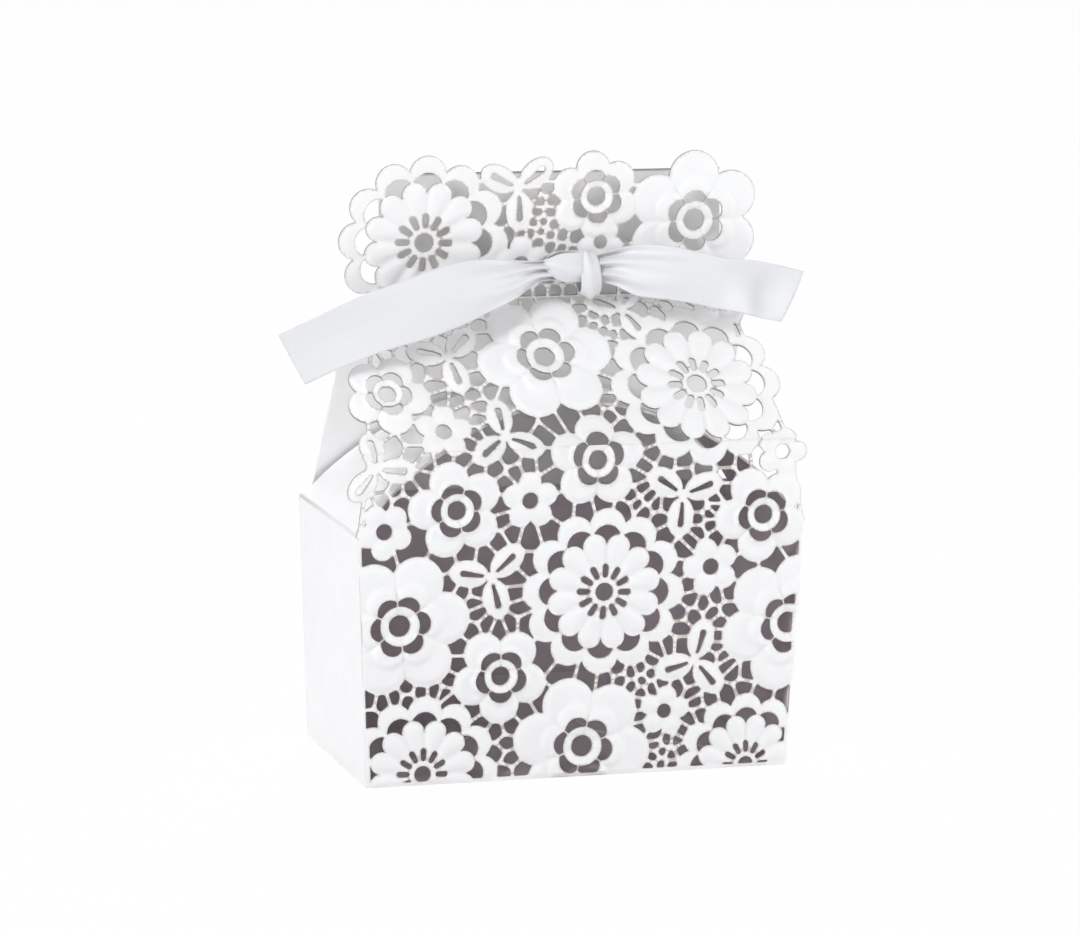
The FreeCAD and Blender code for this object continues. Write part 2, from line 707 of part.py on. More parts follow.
def ribbon_tail(label, side, length, drop, swing):
    """A free end of the ribbon: a bowed strip that falls outwards and forwards from the knot."""
    bow = size("tail_bow")
    thickness = size("ribbon_thickness")
    low = -size("ribbon_width") / 2
    ends = [V(0, 0, low), V(side * length / 2, -bow, low), V(side * length, 0, low)]
    back = [p + V(0, thickness, 0) for p in ends]
    face = Part.Face(Part.Wire([Part.Arc(*ends).toShape(), line(ends[2], back[2]),
                                Part.Arc(*reversed(back)).toShape(), line(back[0], ends[0])]))
    shape = face.extrude(V(0, 0, size("ribbon_width")))
    root = V(size("knot_offset") + side * (size("knot_width") / 2 - value(KNOT_ROUND)),
             -value(KNOT_SEAT) - size("knot_depth") / 2, size("neck_height") + size("knot_rise"))
    turn = FreeCAD.Rotation(V(0, 0, 1), -side * swing) * FreeCAD.Rotation(V(0, 1, 0), side * drop)
    return shape_feature(label, shape, FreeCAD.Placement(root, turn))


pieces = [
    front_wall(),
    front_roof(),
    front_crest(),
    back_wall(),
    back_roof(),
    back_crest(),
    side_wall("left_wall", -1),
    side_wall("right_wall", 1),
    seam_flap(),
    vault_flap("left_vault_flap", -1),
    vault_flap("right_vault_flap", 1),
    base_panel(),
    base_tongue(),
    base_side_flap("base_left_flap", -1),
    base_side_flap("base_right_flap", 1),
    ribbon_knot(),
    ribbon_loop(),
    ribbon_tail("ribbon_left_tail", -1, size("left_tail_length"), size("left_tail_drop_angle"),
                size("left_tail_swing_angle")),
    ribbon_tail("ribbon_right_tail", 1, size("right_tail_length"), size("right_tail_drop_angle"),
                size("right_tail_swing_angle")),
]
doc.recompute()

for item in doc.Objects:
    if "Invalid" in item.State or "Error" in item.State:
        raise RuntimeError("%s is %s" % (item.Label, item.State))
for piece in pieces:
    if piece.Shape.isNull() or not piece.Shape.isValid() or len(piece.Shape.Solids) != 1:
        raise RuntimeError("%s has no single valid solid" % piece.Label)

os.makedirs("parts", exist_ok=True)
for piece in pieces:
    piece.Shape.exportStep("parts/%s.step" % piece.Label)
    box = piece.Shape.BoundBox
    print("%-18s volume %9.2f  x %7.2f %7.2f  y %7.2f %7.2f  z %7.2f %7.2f" % (
        piece.Label, piece.Shape.Volume, box.XMin, box.XMax, box.YMin, box.YMax, box.ZMin, box.ZMax))
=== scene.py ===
# The wedding favour box in its finished look: laser-cut lace card, plain card and a satin ribbon.
# Lengths are written in millimetres in the box's own frame and turned into metres as each mesh is made.
import math

import bpy
import numpy as np
from mathutils import Matrix, Vector
from mathutils.geometry import delaunay_2d_cdt


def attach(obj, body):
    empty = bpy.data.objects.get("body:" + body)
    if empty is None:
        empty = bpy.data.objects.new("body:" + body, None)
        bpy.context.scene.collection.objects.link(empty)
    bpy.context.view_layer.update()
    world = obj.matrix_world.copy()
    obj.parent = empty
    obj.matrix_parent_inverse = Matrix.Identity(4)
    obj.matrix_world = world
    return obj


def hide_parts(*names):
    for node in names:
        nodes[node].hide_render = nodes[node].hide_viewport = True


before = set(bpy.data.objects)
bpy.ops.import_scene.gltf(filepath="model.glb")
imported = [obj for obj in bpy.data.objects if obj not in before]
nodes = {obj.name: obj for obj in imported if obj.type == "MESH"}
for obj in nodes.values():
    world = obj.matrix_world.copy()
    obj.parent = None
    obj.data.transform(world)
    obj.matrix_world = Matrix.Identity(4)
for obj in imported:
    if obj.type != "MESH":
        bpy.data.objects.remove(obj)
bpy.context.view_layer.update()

MM = 0.001

# The carton's main sizes
CARD = 0.4
FRONT = -20.0
HALF_BASE = 38.0
HALF_SHOULDER = 40.0
SHOULDER = 43.5
CREASE = 58.0
NECK = 81.0
NECK_FRONT = -1.5
ROOF_RUN = NECK_FRONT - FRONT
ROOF_RISE = NECK - CREASE
ROOF_LENGTH = math.hypot(ROOF_RUN, ROOF_RISE)
ROOF_LEAN = math.atan2(ROOF_RUN, ROOF_RISE)
CREST_SPLAY = math.radians(5.0)
FOLD_SLOPE = math.tan(ROOF_LEAN / 2)
FOLD_REACH = 1.6
FOLD_TOUCH = 0.08


# Flowers and leaves of the lace, as fields: below zero inside the shape, above zero outside it
FAR = 9.0
ROSETTE_UNITS = 15
ROSETTE_PETALS = 12
FLORET_PETALS = 5
LEAF_JOINT = 0.8


def disc(x, y, middle, radius):
    """Distance to a disc on the X axis."""
    return np.hypot(x - middle, y) - radius


def drop(x, y, start, end, narrow, wide):
    """Distance to a drop along the X axis, narrow at its start and wide at its end."""
    along = np.clip(x, start, end)
    share = (along - start) / (end - start)
    return np.hypot(x - along, y) - (narrow + (wide - narrow) * share)


def folded(x, y, count, turn):
    """Places with every petal folded onto the one along the X axis."""
    step = 2 * math.pi / count
    angle = np.arctan2(y, x) - math.radians(turn)
    angle = angle - step * np.round(angle / step)
    reach = np.hypot(x, y)
    return reach * np.cos(angle), reach * np.sin(angle)


def swell(depth, width):
    """Smooth rise from 0 at the edge to 1 at a depth of the width given."""
    share = np.clip(depth / width, 0, 1)
    return share * share * (3 - 2 * share)


def blended(a, b, round_over):
    """Union of two fields with a small fillet where they meet."""
    share = np.clip(0.5 + 0.5 * (b - a) / round_over, 0, 1)
    return b + (a - b) * share - round_over * share * (1 - share)


def rosette(x, y, size, turn):
    """Twelve petals with a fan-shaped hole in each, a raised inner flower and a toothed eye."""
    unit = size / ROSETTE_UNITS
    petal_ring, petal_size, body = 11.8 * unit, 3.3 * unit, 12.0 * unit
    inner_ring, inner_size, inner_body = 8.5 * unit, 2.21 * unit, 8.2 * unit
    fan_ring, fan_size = 9.6 * unit, 2.6 * unit
    eye_size, plateau_size = 1.65 * unit, 5.6 * unit
    tooth_start, tooth_end, tooth_narrow, tooth_wide = 3.1 * unit, 4.5 * unit, 0.54 * unit, 0.60 * unit
    ray_start, ray_narrow = 5.0 * unit, 1.5 * unit
    petal_height, ray_height, plateau_height = 0.24, 0.42, 0.40
    reach = np.hypot(x, y)
    px, py = folded(x, y, ROSETTE_PETALS, turn)
    qx, qy = folded(x, y, ROSETTE_PETALS, turn + 180 / ROSETTE_PETALS)
    petal = disc(px, py, petal_ring, petal_size)
    outline = np.minimum(petal, reach - body)
    inner_petal = disc(qx, qy, inner_ring, inner_size)
    inner = np.minimum(inner_petal, reach - inner_body)
    fan = np.maximum(disc(px, py, fan_ring, fan_size), -inner)
    eye = reach - eye_size
    tooth = drop(px, py, tooth_start, tooth_end, tooth_narrow, tooth_wide)
    holes = np.minimum(np.minimum(fan, eye), tooth)
    relief = petal_height * swell(-petal, 1.7 * unit)
    ray = drop(qx, qy, ray_start, inner_ring, ray_narrow, inner_size)
    relief = relief + ray_height * swell(-ray, 1.5 * unit)
    plateau = plateau_height * swell(plateau_size - reach, 1.4 * unit)
    return outline, holes, np.maximum(relief, plateau)


def flower(x, y, size, turn, count, eye, ring, lobes, petal_ring, petal_size, spoke):
    """A round-petalled flower with an eye, a ring and lobed crescents round the ring."""
    reach = np.hypot(x, y)
    px, py = folded(x, y, count, turn)
    qx, qy = folded(x, y, count, turn + 180 / count)
    petal = disc(px, py, petal_ring * size, petal_size * size)
    outline = np.minimum(petal, reach - petal_ring * size)
    lobe_middle, lobe_size = lobes
    lobe = disc(px, py, lobe_middle * size, lobe_size * size)
    crescent = np.maximum(np.maximum(lobe, ring * size - reach), spoke - np.abs(qy))
    holes = np.minimum(reach - eye * size, crescent)
    outer_height, inner_height = 0.42, 0.52
    inner_petal = disc(px, py, 0.62 * petal_ring * size, 0.72 * petal_size * size)
    relief = outer_height * swell(-petal, 0.20 * petal_size * size + 0.3)
    relief = relief + inner_height * swell(-inner_petal, 0.26 * petal_size * size)
    return outline, holes, relief


def bloom(x, y, size, turn):
    """The large six-petalled flower."""
    return flower(x, y, size, turn, count=6, eye=0.152, ring=0.280, lobes=(0.262, 0.172),
                  petal_ring=0.63, petal_size=0.37, spoke=0.13)


def blossom(x, y, size, turn):
    """The middle-sized five-petalled flower."""
    return flower(x, y, size, turn, count=5, eye=0.197, ring=0.358, lobes=(0.298, 0.262),
                  petal_ring=0.60, petal_size=0.415, spoke=0.12)


def star(x, y, size, turn):
    """The middle-sized six-petalled flower of the crest."""
    return flower(x, y, size, turn, count=6, eye=0.205, ring=0.37, lobes=(0.345, 0.245),
                  petal_ring=0.62, petal_size=0.38, spoke=0.12)


def floret(x, y, size, turn):
    """The small five-petalled flower with a round eye."""
    petal_ring, petal_size, body, eye = 0.60 * size, 0.39 * size, 0.56 * size, 0.28 * size
    petal_height = 0.30
    reach = np.hypot(x, y)
    px, py = folded(x, y, FLORET_PETALS, turn)
    petal = disc(px, py, petal_ring, petal_size)
    outline = np.minimum(petal, reach - body)
    return outline, reach - eye, petal_height * swell(-petal, 0.36 * size)


def leaves(x, y, size, turns):
    """Three rounded leaves with a slit along each."""
    leaf_middle, half_length, half_width = 0.56 * size, 0.48, 0.32
    slit_start, slit_end, slit_narrow, slit_wide = 0.22 * size, 0.72 * size, 0.28, 0.56
    leaf_height = 0.40
    steepness = 0.36
    outline = np.hypot(x, y) - LEAF_JOINT
    slits = np.full_like(x, FAR)
    relief = np.zeros_like(x)
    for turn in turns:
        c = math.cos(math.radians(turn))
        s = math.sin(math.radians(turn))
        along, across = x * c + y * s, y * c - x * s
        leaf = (np.hypot((along - leaf_middle) / half_length, across / half_width) - size) * steepness
        slit = drop(along, across, slit_start, slit_end, slit_narrow, slit_wide)
        outline = np.minimum(outline, leaf)
        slits = np.minimum(slits, slit)
        relief = np.maximum(relief, leaf_height * swell(-leaf, 0.24 * size))
    return outline, slits, relief


# Kind, place on the unrolled front, size and turn; heights run on over the crease onto the roof
FRONT_MOTIFS = [
    (rosette, 3.8, 32.5, 14.4, 87.5),
    (rosette, -28.2, 2.0, 13.4, 88.0),
    (rosette, 30.4, 0.6, 12.4, 90.0),
    (bloom, -32.6, 28.1, 12.4, 7.0),
    (bloom, 0.4, 5.4, 12.4, -11.0),
    (bloom, 37.6, 25.5, 12.2, 15.0),
    (blossom, -22.9, 47.8, 8.3, 33.0),
    (blossom, 2.1, 55.6, 8.3, 18.0),
    (blossom, 32.4, 45.0, 8.4, 45.0),
    (blossom, -14.6, 18.6, 8.3, 54.0),
    (floret, -9.7, 48.9, 5.0, 20.0),
    (floret, -35.5, 44.5, 5.0, 50.0),
    (floret, 23.2, 36.0, 5.1, 35.0),
    (floret, 15.3, 10.8, 4.5, 10.0),
    (floret, 35.8, 55.8, 4.6, 0.0),
    (leaves, -16.5, 35.9, 7.1, (170, 43, -75)),
    (leaves, 17.8, 48.9, 7.1, (145, 20, -95)),
    (leaves, 20.7, 19.5, 7.1, (195, 75, -50)),
    (leaves, -37.0, 55.3, 6.6, (100, -5, -130)),
    (leaves, -14.0, 60.4, 6.9, (95, -25, 218)),
    (blossom, -33.4, 69.2, 7.4, 63.0),
    (leaves, -21.3, 76.3, 7.0, (168, 45, -80)),
    (bloom, -4.2, 75.7, 12.2, 8.0),
    (floret, -24.6, 61.8, 5.0, 10.0),
    (rosette, 22.2, 69.3, 15.3, 0.0),
    (leaves, 11.4, 84.6, 6.4, (160, 60, -60)),
    (floret, -30.0, 82.6, 4.8, 30.0),
    (blossom, 29.0, 86.5, 6.0, 20.0),
]
CREST_MOTIFS = [
    (rosette, -24.3, 10.3, 15.0, 88.0),
    (leaves, -7.6, 19.4, 7.2, (154, 40, -87)),
    (star, 6.3, 17.8, 8.0, 97.0),
    (floret, 7.6, 9.6, 4.2, 54.0),
    (bloom, 24.5, 13.2, 12.3, 32.0),
    (floret, -6.6, 6.0, 5.0, 20.0),
]

# The net between the motifs: its bridges, gaps and fillets, and the steps of the grid and the mesh
GRID = 0.11
BRIDGE = 0.29
FILLET = 0.42
CELL_AREA = 6.0
CELL_ROUND = 0.6
GROWTH = 0.10
GROWTH_REACH = 3.0
GROUND_SPARE = 0.5
NET_OVERLAP = 0.2
SEED_INSET = 0.3
SEED_CLEAR = 0.15
SEED_STRIDE = 3
SPREAD_ROUNDS = 14
NEIGHBOURS = 4
BATCH = 4000
SMALLEST_GAP = 0.22
RIM_STEP = 0.27
FACE_STEP = 0.46
ROW_SHARE = 0.866
FACE_INSET = 0.2
FLAT_REACH = 1.0
SHARP_ANGLE = math.radians(48)


def half_planes(x, y, corners):
    """Distance to a convex outline whose corners run anticlockwise."""
    result = np.full_like(x, -1e3)
    for (ax, ay), (bx, by) in zip(corners, corners[1:] + corners[:1]):
        length = math.hypot(bx - ax, by - ay)
        result = np.maximum(result, ((by - ay) * (x - ax) - (bx - ax) * (y - ay)) / length)
    return result


def motif_fields(x, y, motifs):
    """Outline, holes and relief of all the motifs together."""
    outline = np.full_like(x, FAR)
    holes = np.full_like(x, FAR)
    relief = np.zeros_like(x)
    for kind, mx, my, size, turn in motifs:
        near = np.hypot(x - mx, y - my) < size + 3
        if not near.any():
            continue
        part_outline, part_holes, part_relief = kind(x[near] - mx, y[near] - my, size, turn)
        own = part_outline <= outline[near]
        holes[near] = np.where(own, part_holes, np.maximum(holes[near], -part_outline))
        relief[near] = np.where(own, part_relief, relief[near])
        outline[near] = np.minimum(outline[near], part_outline)
    return outline, holes, relief


def net_seeds(x, y, count, draw):
    """Middles of the net's gaps, spread evenly through the open ground."""
    ground = np.stack([x, y], 1)
    seeds = ground[draw.choice(len(ground), count, replace=False)]
    for _ in range(SPREAD_ROUNDS):
        nearest = np.empty(len(ground), int)
        for start in range(0, len(ground), BATCH):
            part = ground[start:start + BATCH]
            away = ((part[:, None, :] - seeds[None]) ** 2).sum(2)
            nearest[start:start + BATCH] = away.argmin(1)
        hits = np.maximum(np.bincount(nearest, minlength=count), 1)
        seeds = np.stack([np.bincount(nearest, ground[:, k], count) / hits for k in (0, 1)], 1)
    return seeds


def net_field(x, y, seeds):
    """Distance to the thin bridges between the gaps of the net."""
    result = np.empty(len(x))
    for start in range(0, len(x), BATCH):
        part = np.stack([x[start:start + BATCH], y[start:start + BATCH]], 1)
        away = ((part[:, None, :] - seeds[None]) ** 2).sum(2)
        order = np.argpartition(away, NEIGHBOURS, axis=1)[:, :NEIGHBOURS + 1]
        near = np.take_along_axis(away, order, 1)
        rank = near.argsort(1)
        order = np.take_along_axis(order, rank, 1)
        near = np.take_along_axis(near, rank, 1)
        edge = np.full(len(part), FAR)
        for k in range(1, NEIGHBOURS + 1):
            apart = np.linalg.norm(seeds[order[:, k]] - seeds[order[:, 0]], axis=1)
            side = (near[:, k] - near[:, 0]) / (2 * np.maximum(apart, 1e-6))
            edge = blended(edge, side, CELL_ROUND)
        result[start:start + BATCH] = edge - BRIDGE
    return result


def loops_of(field, left, low):
    """Closed outlines where a field on the grid changes sign, by marching squares."""
    inside = field < 0
    code = (inside[:-1, :-1] * 1 + inside[:-1, 1:] * 2 + inside[1:, 1:] * 4 + inside[1:, :-1] * 8)
    pairs = {1: ((3, 0),), 2: ((0, 1),), 3: ((3, 1),), 4: ((1, 2),), 5: ((3, 0), (1, 2)),
             6: ((0, 2),), 7: ((3, 2),), 8: ((2, 3),), 9: ((2, 0),), 10: ((0, 1), (2, 3)),
             11: ((2, 1),), 12: ((1, 3),), 13: ((1, 0),), 14: ((0, 3),)}
    follow = {}
    rows, columns = np.nonzero((code > 0) & (code < 15))
    for r, c in zip(rows.tolist(), columns.tolist()):
        side = ((r, c, 0), (r, c + 1, 1), (r + 1, c, 0), (r, c, 1))
        for a, b in pairs[int(code[r, c])]:
            follow[side[a]] = side[b]

    def spot(key):
        r, c, upright = key
        a = field[r, c]
        b = field[r + 1, c] if upright else field[r, c + 1]
        share = a / (a - b)
        if upright:
            return left + c * GRID, low + (r + share) * GRID
        return left + (c + share) * GRID, low + r * GRID

    loops = []
    while follow:
        key = next(iter(follow))
        loop = []
        while key in follow:
            loop.append(spot(key))
            key = follow.pop(key)
        loops.append(np.array(loop))
    return loops


def loop_area(loop):
    """Signed area of a closed outline."""
    ahead = np.roll(loop, -1, 0)
    return float((loop[:, 0] * ahead[:, 1] - loop[:, 1] * ahead[:, 0]).sum() / 2)


def resampled(loop, spacing):
    """A closed outline softened and cut into even steps."""
    for _ in range(2):
        loop = 0.5 * loop + 0.25 * (np.roll(loop, 1, 0) + np.roll(loop, -1, 0))
    closed = np.vstack([loop, loop[:1]])
    run = np.concatenate([[0], np.cumsum(np.linalg.norm(np.diff(closed, axis=0), axis=1))])
    count = max(10, int(round(run[-1] / spacing)))
    marks = np.arange(count) * run[-1] / count
    return np.stack([np.interp(marks, run, closed[:, k]) for k in (0, 1)], 1)


def sampled(field, left, low, x, y):
    """A grid field read between its points."""
    c = np.clip((x - left) / GRID, 0, field.shape[1] - 1.001)
    r = np.clip((y - low) / GRID, 0, field.shape[0] - 1.001)
    c0, r0 = c.astype(int), r.astype(int)
    fc, fr = c - c0, r - r0
    lower = field[r0, c0] * (1 - fc) + field[r0, c0 + 1] * fc
    upper = field[r0 + 1, c0] * (1 - fc) + field[r0 + 1, c0 + 1] * fc
    return lower * (1 - fr) + upper * fr


def lace_grid(reach):
    """Points of a fine grid between the limits given."""
    left, right, low, high = reach
    columns = int((right - left) / GRID) + 1
    rows = int((high - low) / GRID) + 1
    return np.meshgrid(left + np.arange(columns) * GRID, low + np.arange(rows) * GRID)


def lace_outline(motifs, ground, fold, rim, reach, seed):
    """The lace's field on a grid: motifs, the net between them, and holes that keep off the folds."""
    x, y = lace_grid(reach)
    outline, holes, _ = motif_fields(x, y, motifs)
    holes = np.maximum(holes, fold(x, y) + rim)
    room = half_planes(x, y, ground)
    outline = outline - GROWTH * swell(-room, GROWTH_REACH)
    open_ground = (room < GROUND_SPARE) & (outline > -NET_OVERLAP)
    draw = np.random.default_rng(seed)
    some = (slice(None, None, SEED_STRIDE), slice(None, None, SEED_STRIDE))
    coarse = open_ground[some] & (room[some] < -SEED_INSET) & (outline[some] > SEED_CLEAR)
    area = coarse.sum() * (SEED_STRIDE * GRID) ** 2
    seeds = net_seeds(x[some][coarse], y[some][coarse], int(area / CELL_AREA), draw)
    net = np.full_like(x, FAR)
    net[open_ground] = net_field(x[open_ground], y[open_ground], seeds)
    net = np.maximum(np.minimum(net, -room - rim), room)
    return np.maximum(blended(outline, net, FILLET), -holes)


def trimmed(solid, reach, trim):
    """A lace field cut off at a panel's edges."""
    x, y = lace_grid(reach)
    solid = np.maximum(solid, trim(x, y))
    solid[0, :] = solid[-1, :] = 1.0
    solid[:, 0] = solid[:, -1] = 1.0
    return solid


def lace_faces(solid, reach):
    """Points and triangles of a lace field's card, anticlockwise as seen from the front."""
    left, _, low, _ = reach
    loops = [loop for loop in loops_of(solid, left, low) if abs(loop_area(loop)) > SMALLEST_GAP]
    largest = max(abs(loop_area(loop)) for loop in loops)
    way = [loop_area(loop) for loop in loops if abs(loop_area(loop)) == largest][0]
    loops = [loop for loop in loops if loop_area(loop) * way < 0 or abs(loop_area(loop)) > 0.5 * largest]
    points, rims = [], []
    for loop in loops:
        loop = resampled(loop, RIM_STEP)
        start = len(points)
        points += [Vector(p) for p in loop.tolist()]
        rims += [(start + i, start + (i + 1) % len(loop)) for i in range(len(loop))]
    rows = np.arange(low, low + solid.shape[0] * GRID, FACE_STEP * ROW_SHARE)
    columns = np.arange(left, left + solid.shape[1] * GRID, FACE_STEP)
    gx, gy = np.meshgrid(columns, rows)
    gx = gx + (np.arange(len(rows)) % 2)[:, None] * FACE_STEP / 2
    deep = sampled(solid, left, low, gx, gy) < -FACE_INSET
    points += [Vector(p) for p in np.stack([gx[deep], gy[deep]], 1).tolist()]
    spots, edges, faces, _, came_from, _ = delaunay_2d_cdt(points, rims, [], 0, 1e-6)
    spots = np.array([tuple(p) for p in spots])
    faces = np.array(faces)
    fixed = {tuple(sorted(edge)) for edge, source in zip(edges, came_from) if source}

    # Every patch of triangles between cut edges is card or gap as a whole
    beside = {}
    for i, face in enumerate(faces.tolist()):
        for a, b in zip(face, face[1:] + face[:1]):
            beside.setdefault((min(a, b), max(a, b)), []).append(i)
    patch = np.full(len(faces), -1)
    middles = spots[faces].mean(1)
    level = sampled(solid, left, low, middles[:, 0], middles[:, 1])
    corner = spots[faces]
    weight = np.abs(np.cross(corner[:, 1] - corner[:, 0], corner[:, 2] - corner[:, 0]))
    next_to = [[] for _ in range(len(faces))]
    for key, pair in beside.items():
        if len(pair) == 2 and key not in fixed:
            next_to[pair[0]].append(pair[1])
            next_to[pair[1]].append(pair[0])
    keep = np.zeros(len(faces), bool)
    for first in range(len(faces)):
        if patch[first] >= 0:
            continue
        patch[first] = first
        stack, members = [first], [first]
        while stack:
            for other in next_to[stack.pop()]:
                if patch[other] < 0:
                    patch[other] = first
                    stack.append(other)
                    members.append(other)
        keep[members] = (level[members] * weight[members]).sum() < 0
    faces = faces[keep]
    used = np.unique(faces)
    renumber = np.full(len(spots), -1)
    renumber[used] = np.arange(len(used))
    faces = renumber[faces]
    spots = spots[used]
    corner = spots[faces]
    turned = np.cross(corner[:, 1] - corner[:, 0], corner[:, 2] - corner[:, 0]) < 0
    faces[turned] = faces[turned][:, ::-1]
    return spots, faces


def lace_mesh(name, solid, reach, motifs, place, flat_line, fold):
    """A card sheet of the lace: front and back faces with relief, and the cut edges between them."""
    spots, faces = lace_faces(solid, reach)
    count = len(spots)
    _, _, relief = motif_fields(spots[:, 0], spots[:, 1], motifs)
    relief = relief * swell(np.abs(spots[:, 1] - flat_line), FLAT_REACH)
    front = place(spots[:, 0], spots[:, 1], relief)
    back = place(spots[:, 0], spots[:, 1], relief - CARD)
    ring = {}
    for a, b, c in faces.tolist():
        for p, q in ((a, b), (b, c), (c, a)):
            ring[(p, q)] = True
    rim = [(p, q) for p, q in ring if (q, p) not in ring]
    shape = [tuple(face) for face in faces.tolist()]
    shape += [tuple(count + i for i in reversed(face)) for face in faces.tolist()]
    shape += [(p, p + count, q + count, q) for p, q in rim]
    mesh = bpy.data.meshes.new(name)
    mesh.from_pydata((np.vstack([front, back]) * MM).tolist(), [], shape)
    folds = fold(spots[:, 0], spots[:, 1]) > -FOLD_TOUCH
    sides = [0 if folds[p] and folds[q] else 2 for p, q in rim]
    mesh.polygons.foreach_set("material_index", [0] * len(faces) + [1] * len(faces) + sides)
    singe = np.zeros(2 * count)
    for p, q in rim:
        if not (folds[p] and folds[q]):
            singe[[p, q, p + count, q + count]] = 1.0
    mesh.attributes.new("singe", "FLOAT", "POINT").data.foreach_set("value", singe)
    mesh.shade_smooth()
    mesh.set_sharp_from_angle(angle=SHARP_ANGLE)
    mesh.update()
    return mesh


def wall_place(u, v, lift):
    """A point of the front wall: across, up, and lifted off its face; mitred at the crease."""
    near = 1 - np.clip((CREASE - v) / FOLD_REACH, 0, 1)
    return np.stack([u, FRONT - lift, v + near * lift * FOLD_SLOPE], 1)


def roof_place(u, v, lift):
    """A point of the leaning front roof, with heights counted on from the wall's."""
    near = 1 - np.clip((v - CREASE) / FOLD_REACH, 0, 1)
    up = v - CREASE - near * lift * FOLD_SLOPE
    return np.stack([u, FRONT + up * math.sin(ROOF_LEAN) - lift * math.cos(ROOF_LEAN),
                     CREASE + up * math.cos(ROOF_LEAN) + lift * math.sin(ROOF_LEAN)], 1)


def crest_place(u, v, lift):
    """A point of the front crest, which stands up from the neck and leans forward a little."""
    return np.stack([u, NECK_FRONT - v * math.sin(CREST_SPLAY) - lift * math.cos(CREST_SPLAY),
                     NECK + v * math.cos(CREST_SPLAY) - lift * math.sin(CREST_SPLAY)], 1)


def add_piece(name, mesh, materials, body, slot, *stands_for):
    """A finished piece on its body, in place of the solids named."""
    piece = bpy.data.objects.new(name, mesh)
    bpy.context.scene.collection.objects.link(piece)
    for material in materials:
        mesh.materials.append(material)
    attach(piece, body)
    if stands_for:
        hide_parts(*stands_for)
    return piece


# Materials
WHITE = (0.90, 0.90, 0.905)
# Painted shade: the greyer colour of card faces inside the closed carton, where shade falls
INSIDE_SHADE = (0.715, 0.662, 0.70)
# Painted shade: the back crest's face towards the lace, in the shade between the two crests
CREST_GAP_SHADE = (0.75, 0.742, 0.742)
EDGE = (0.36, 0.31, 0.275)
SINGE = (0.42, 0.365, 0.32)
# A thin dark band just below the back crest's top edge: its colour and depth
DARK_BAND = (0.15, 0.13, 0.115)
DARK_BAND_DEPTH = 0.5
CLOUD_SHADE = 0.975
FACES_INWARD = 0.3
SATIN_DARK = (0.765, 0.77, 0.79)
SATIN_PALE = (0.79, 0.795, 0.815)


def new_material(name):
    """An empty node material with its shader and output joined."""
    material = bpy.data.materials.new(name)
    material.use_nodes = True
    tree = material.node_tree
    tree.nodes.clear()
    shader = tree.nodes.new("ShaderNodeBsdfPrincipled")
    output = tree.nodes.new("ShaderNodeOutputMaterial")
    tree.links.new(shader.outputs["BSDF"], output.inputs["Surface"])
    return material, tree, shader


def laid_over(tree, under, over, share):
    """A colour with another laid over it, by the share that a node gives."""
    mix = tree.nodes.new("ShaderNodeMix")
    mix.data_type = "RGBA"
    mix.inputs["B"].default_value = (*over, 1)
    tree.links.new(share, mix.inputs["Factor"])
    tree.links.new(under, mix.inputs["A"])
    return mix.outputs["Result"]


def shades(tree, share, dark, pale, dark_at, pale_at):
    """A colour that runs from a darker to a paler shade with the share that a node gives."""
    ramp = tree.nodes.new("ShaderNodeValToRGB")
    ramp.color_ramp.elements[0].position = dark_at
    ramp.color_ramp.elements[0].color = (*dark, 1)
    ramp.color_ramp.elements[1].position = pale_at
    ramp.color_ramp.elements[1].color = (*pale, 1)
    tree.links.new(share, ramp.inputs["Fac"])
    return ramp.outputs["Color"]


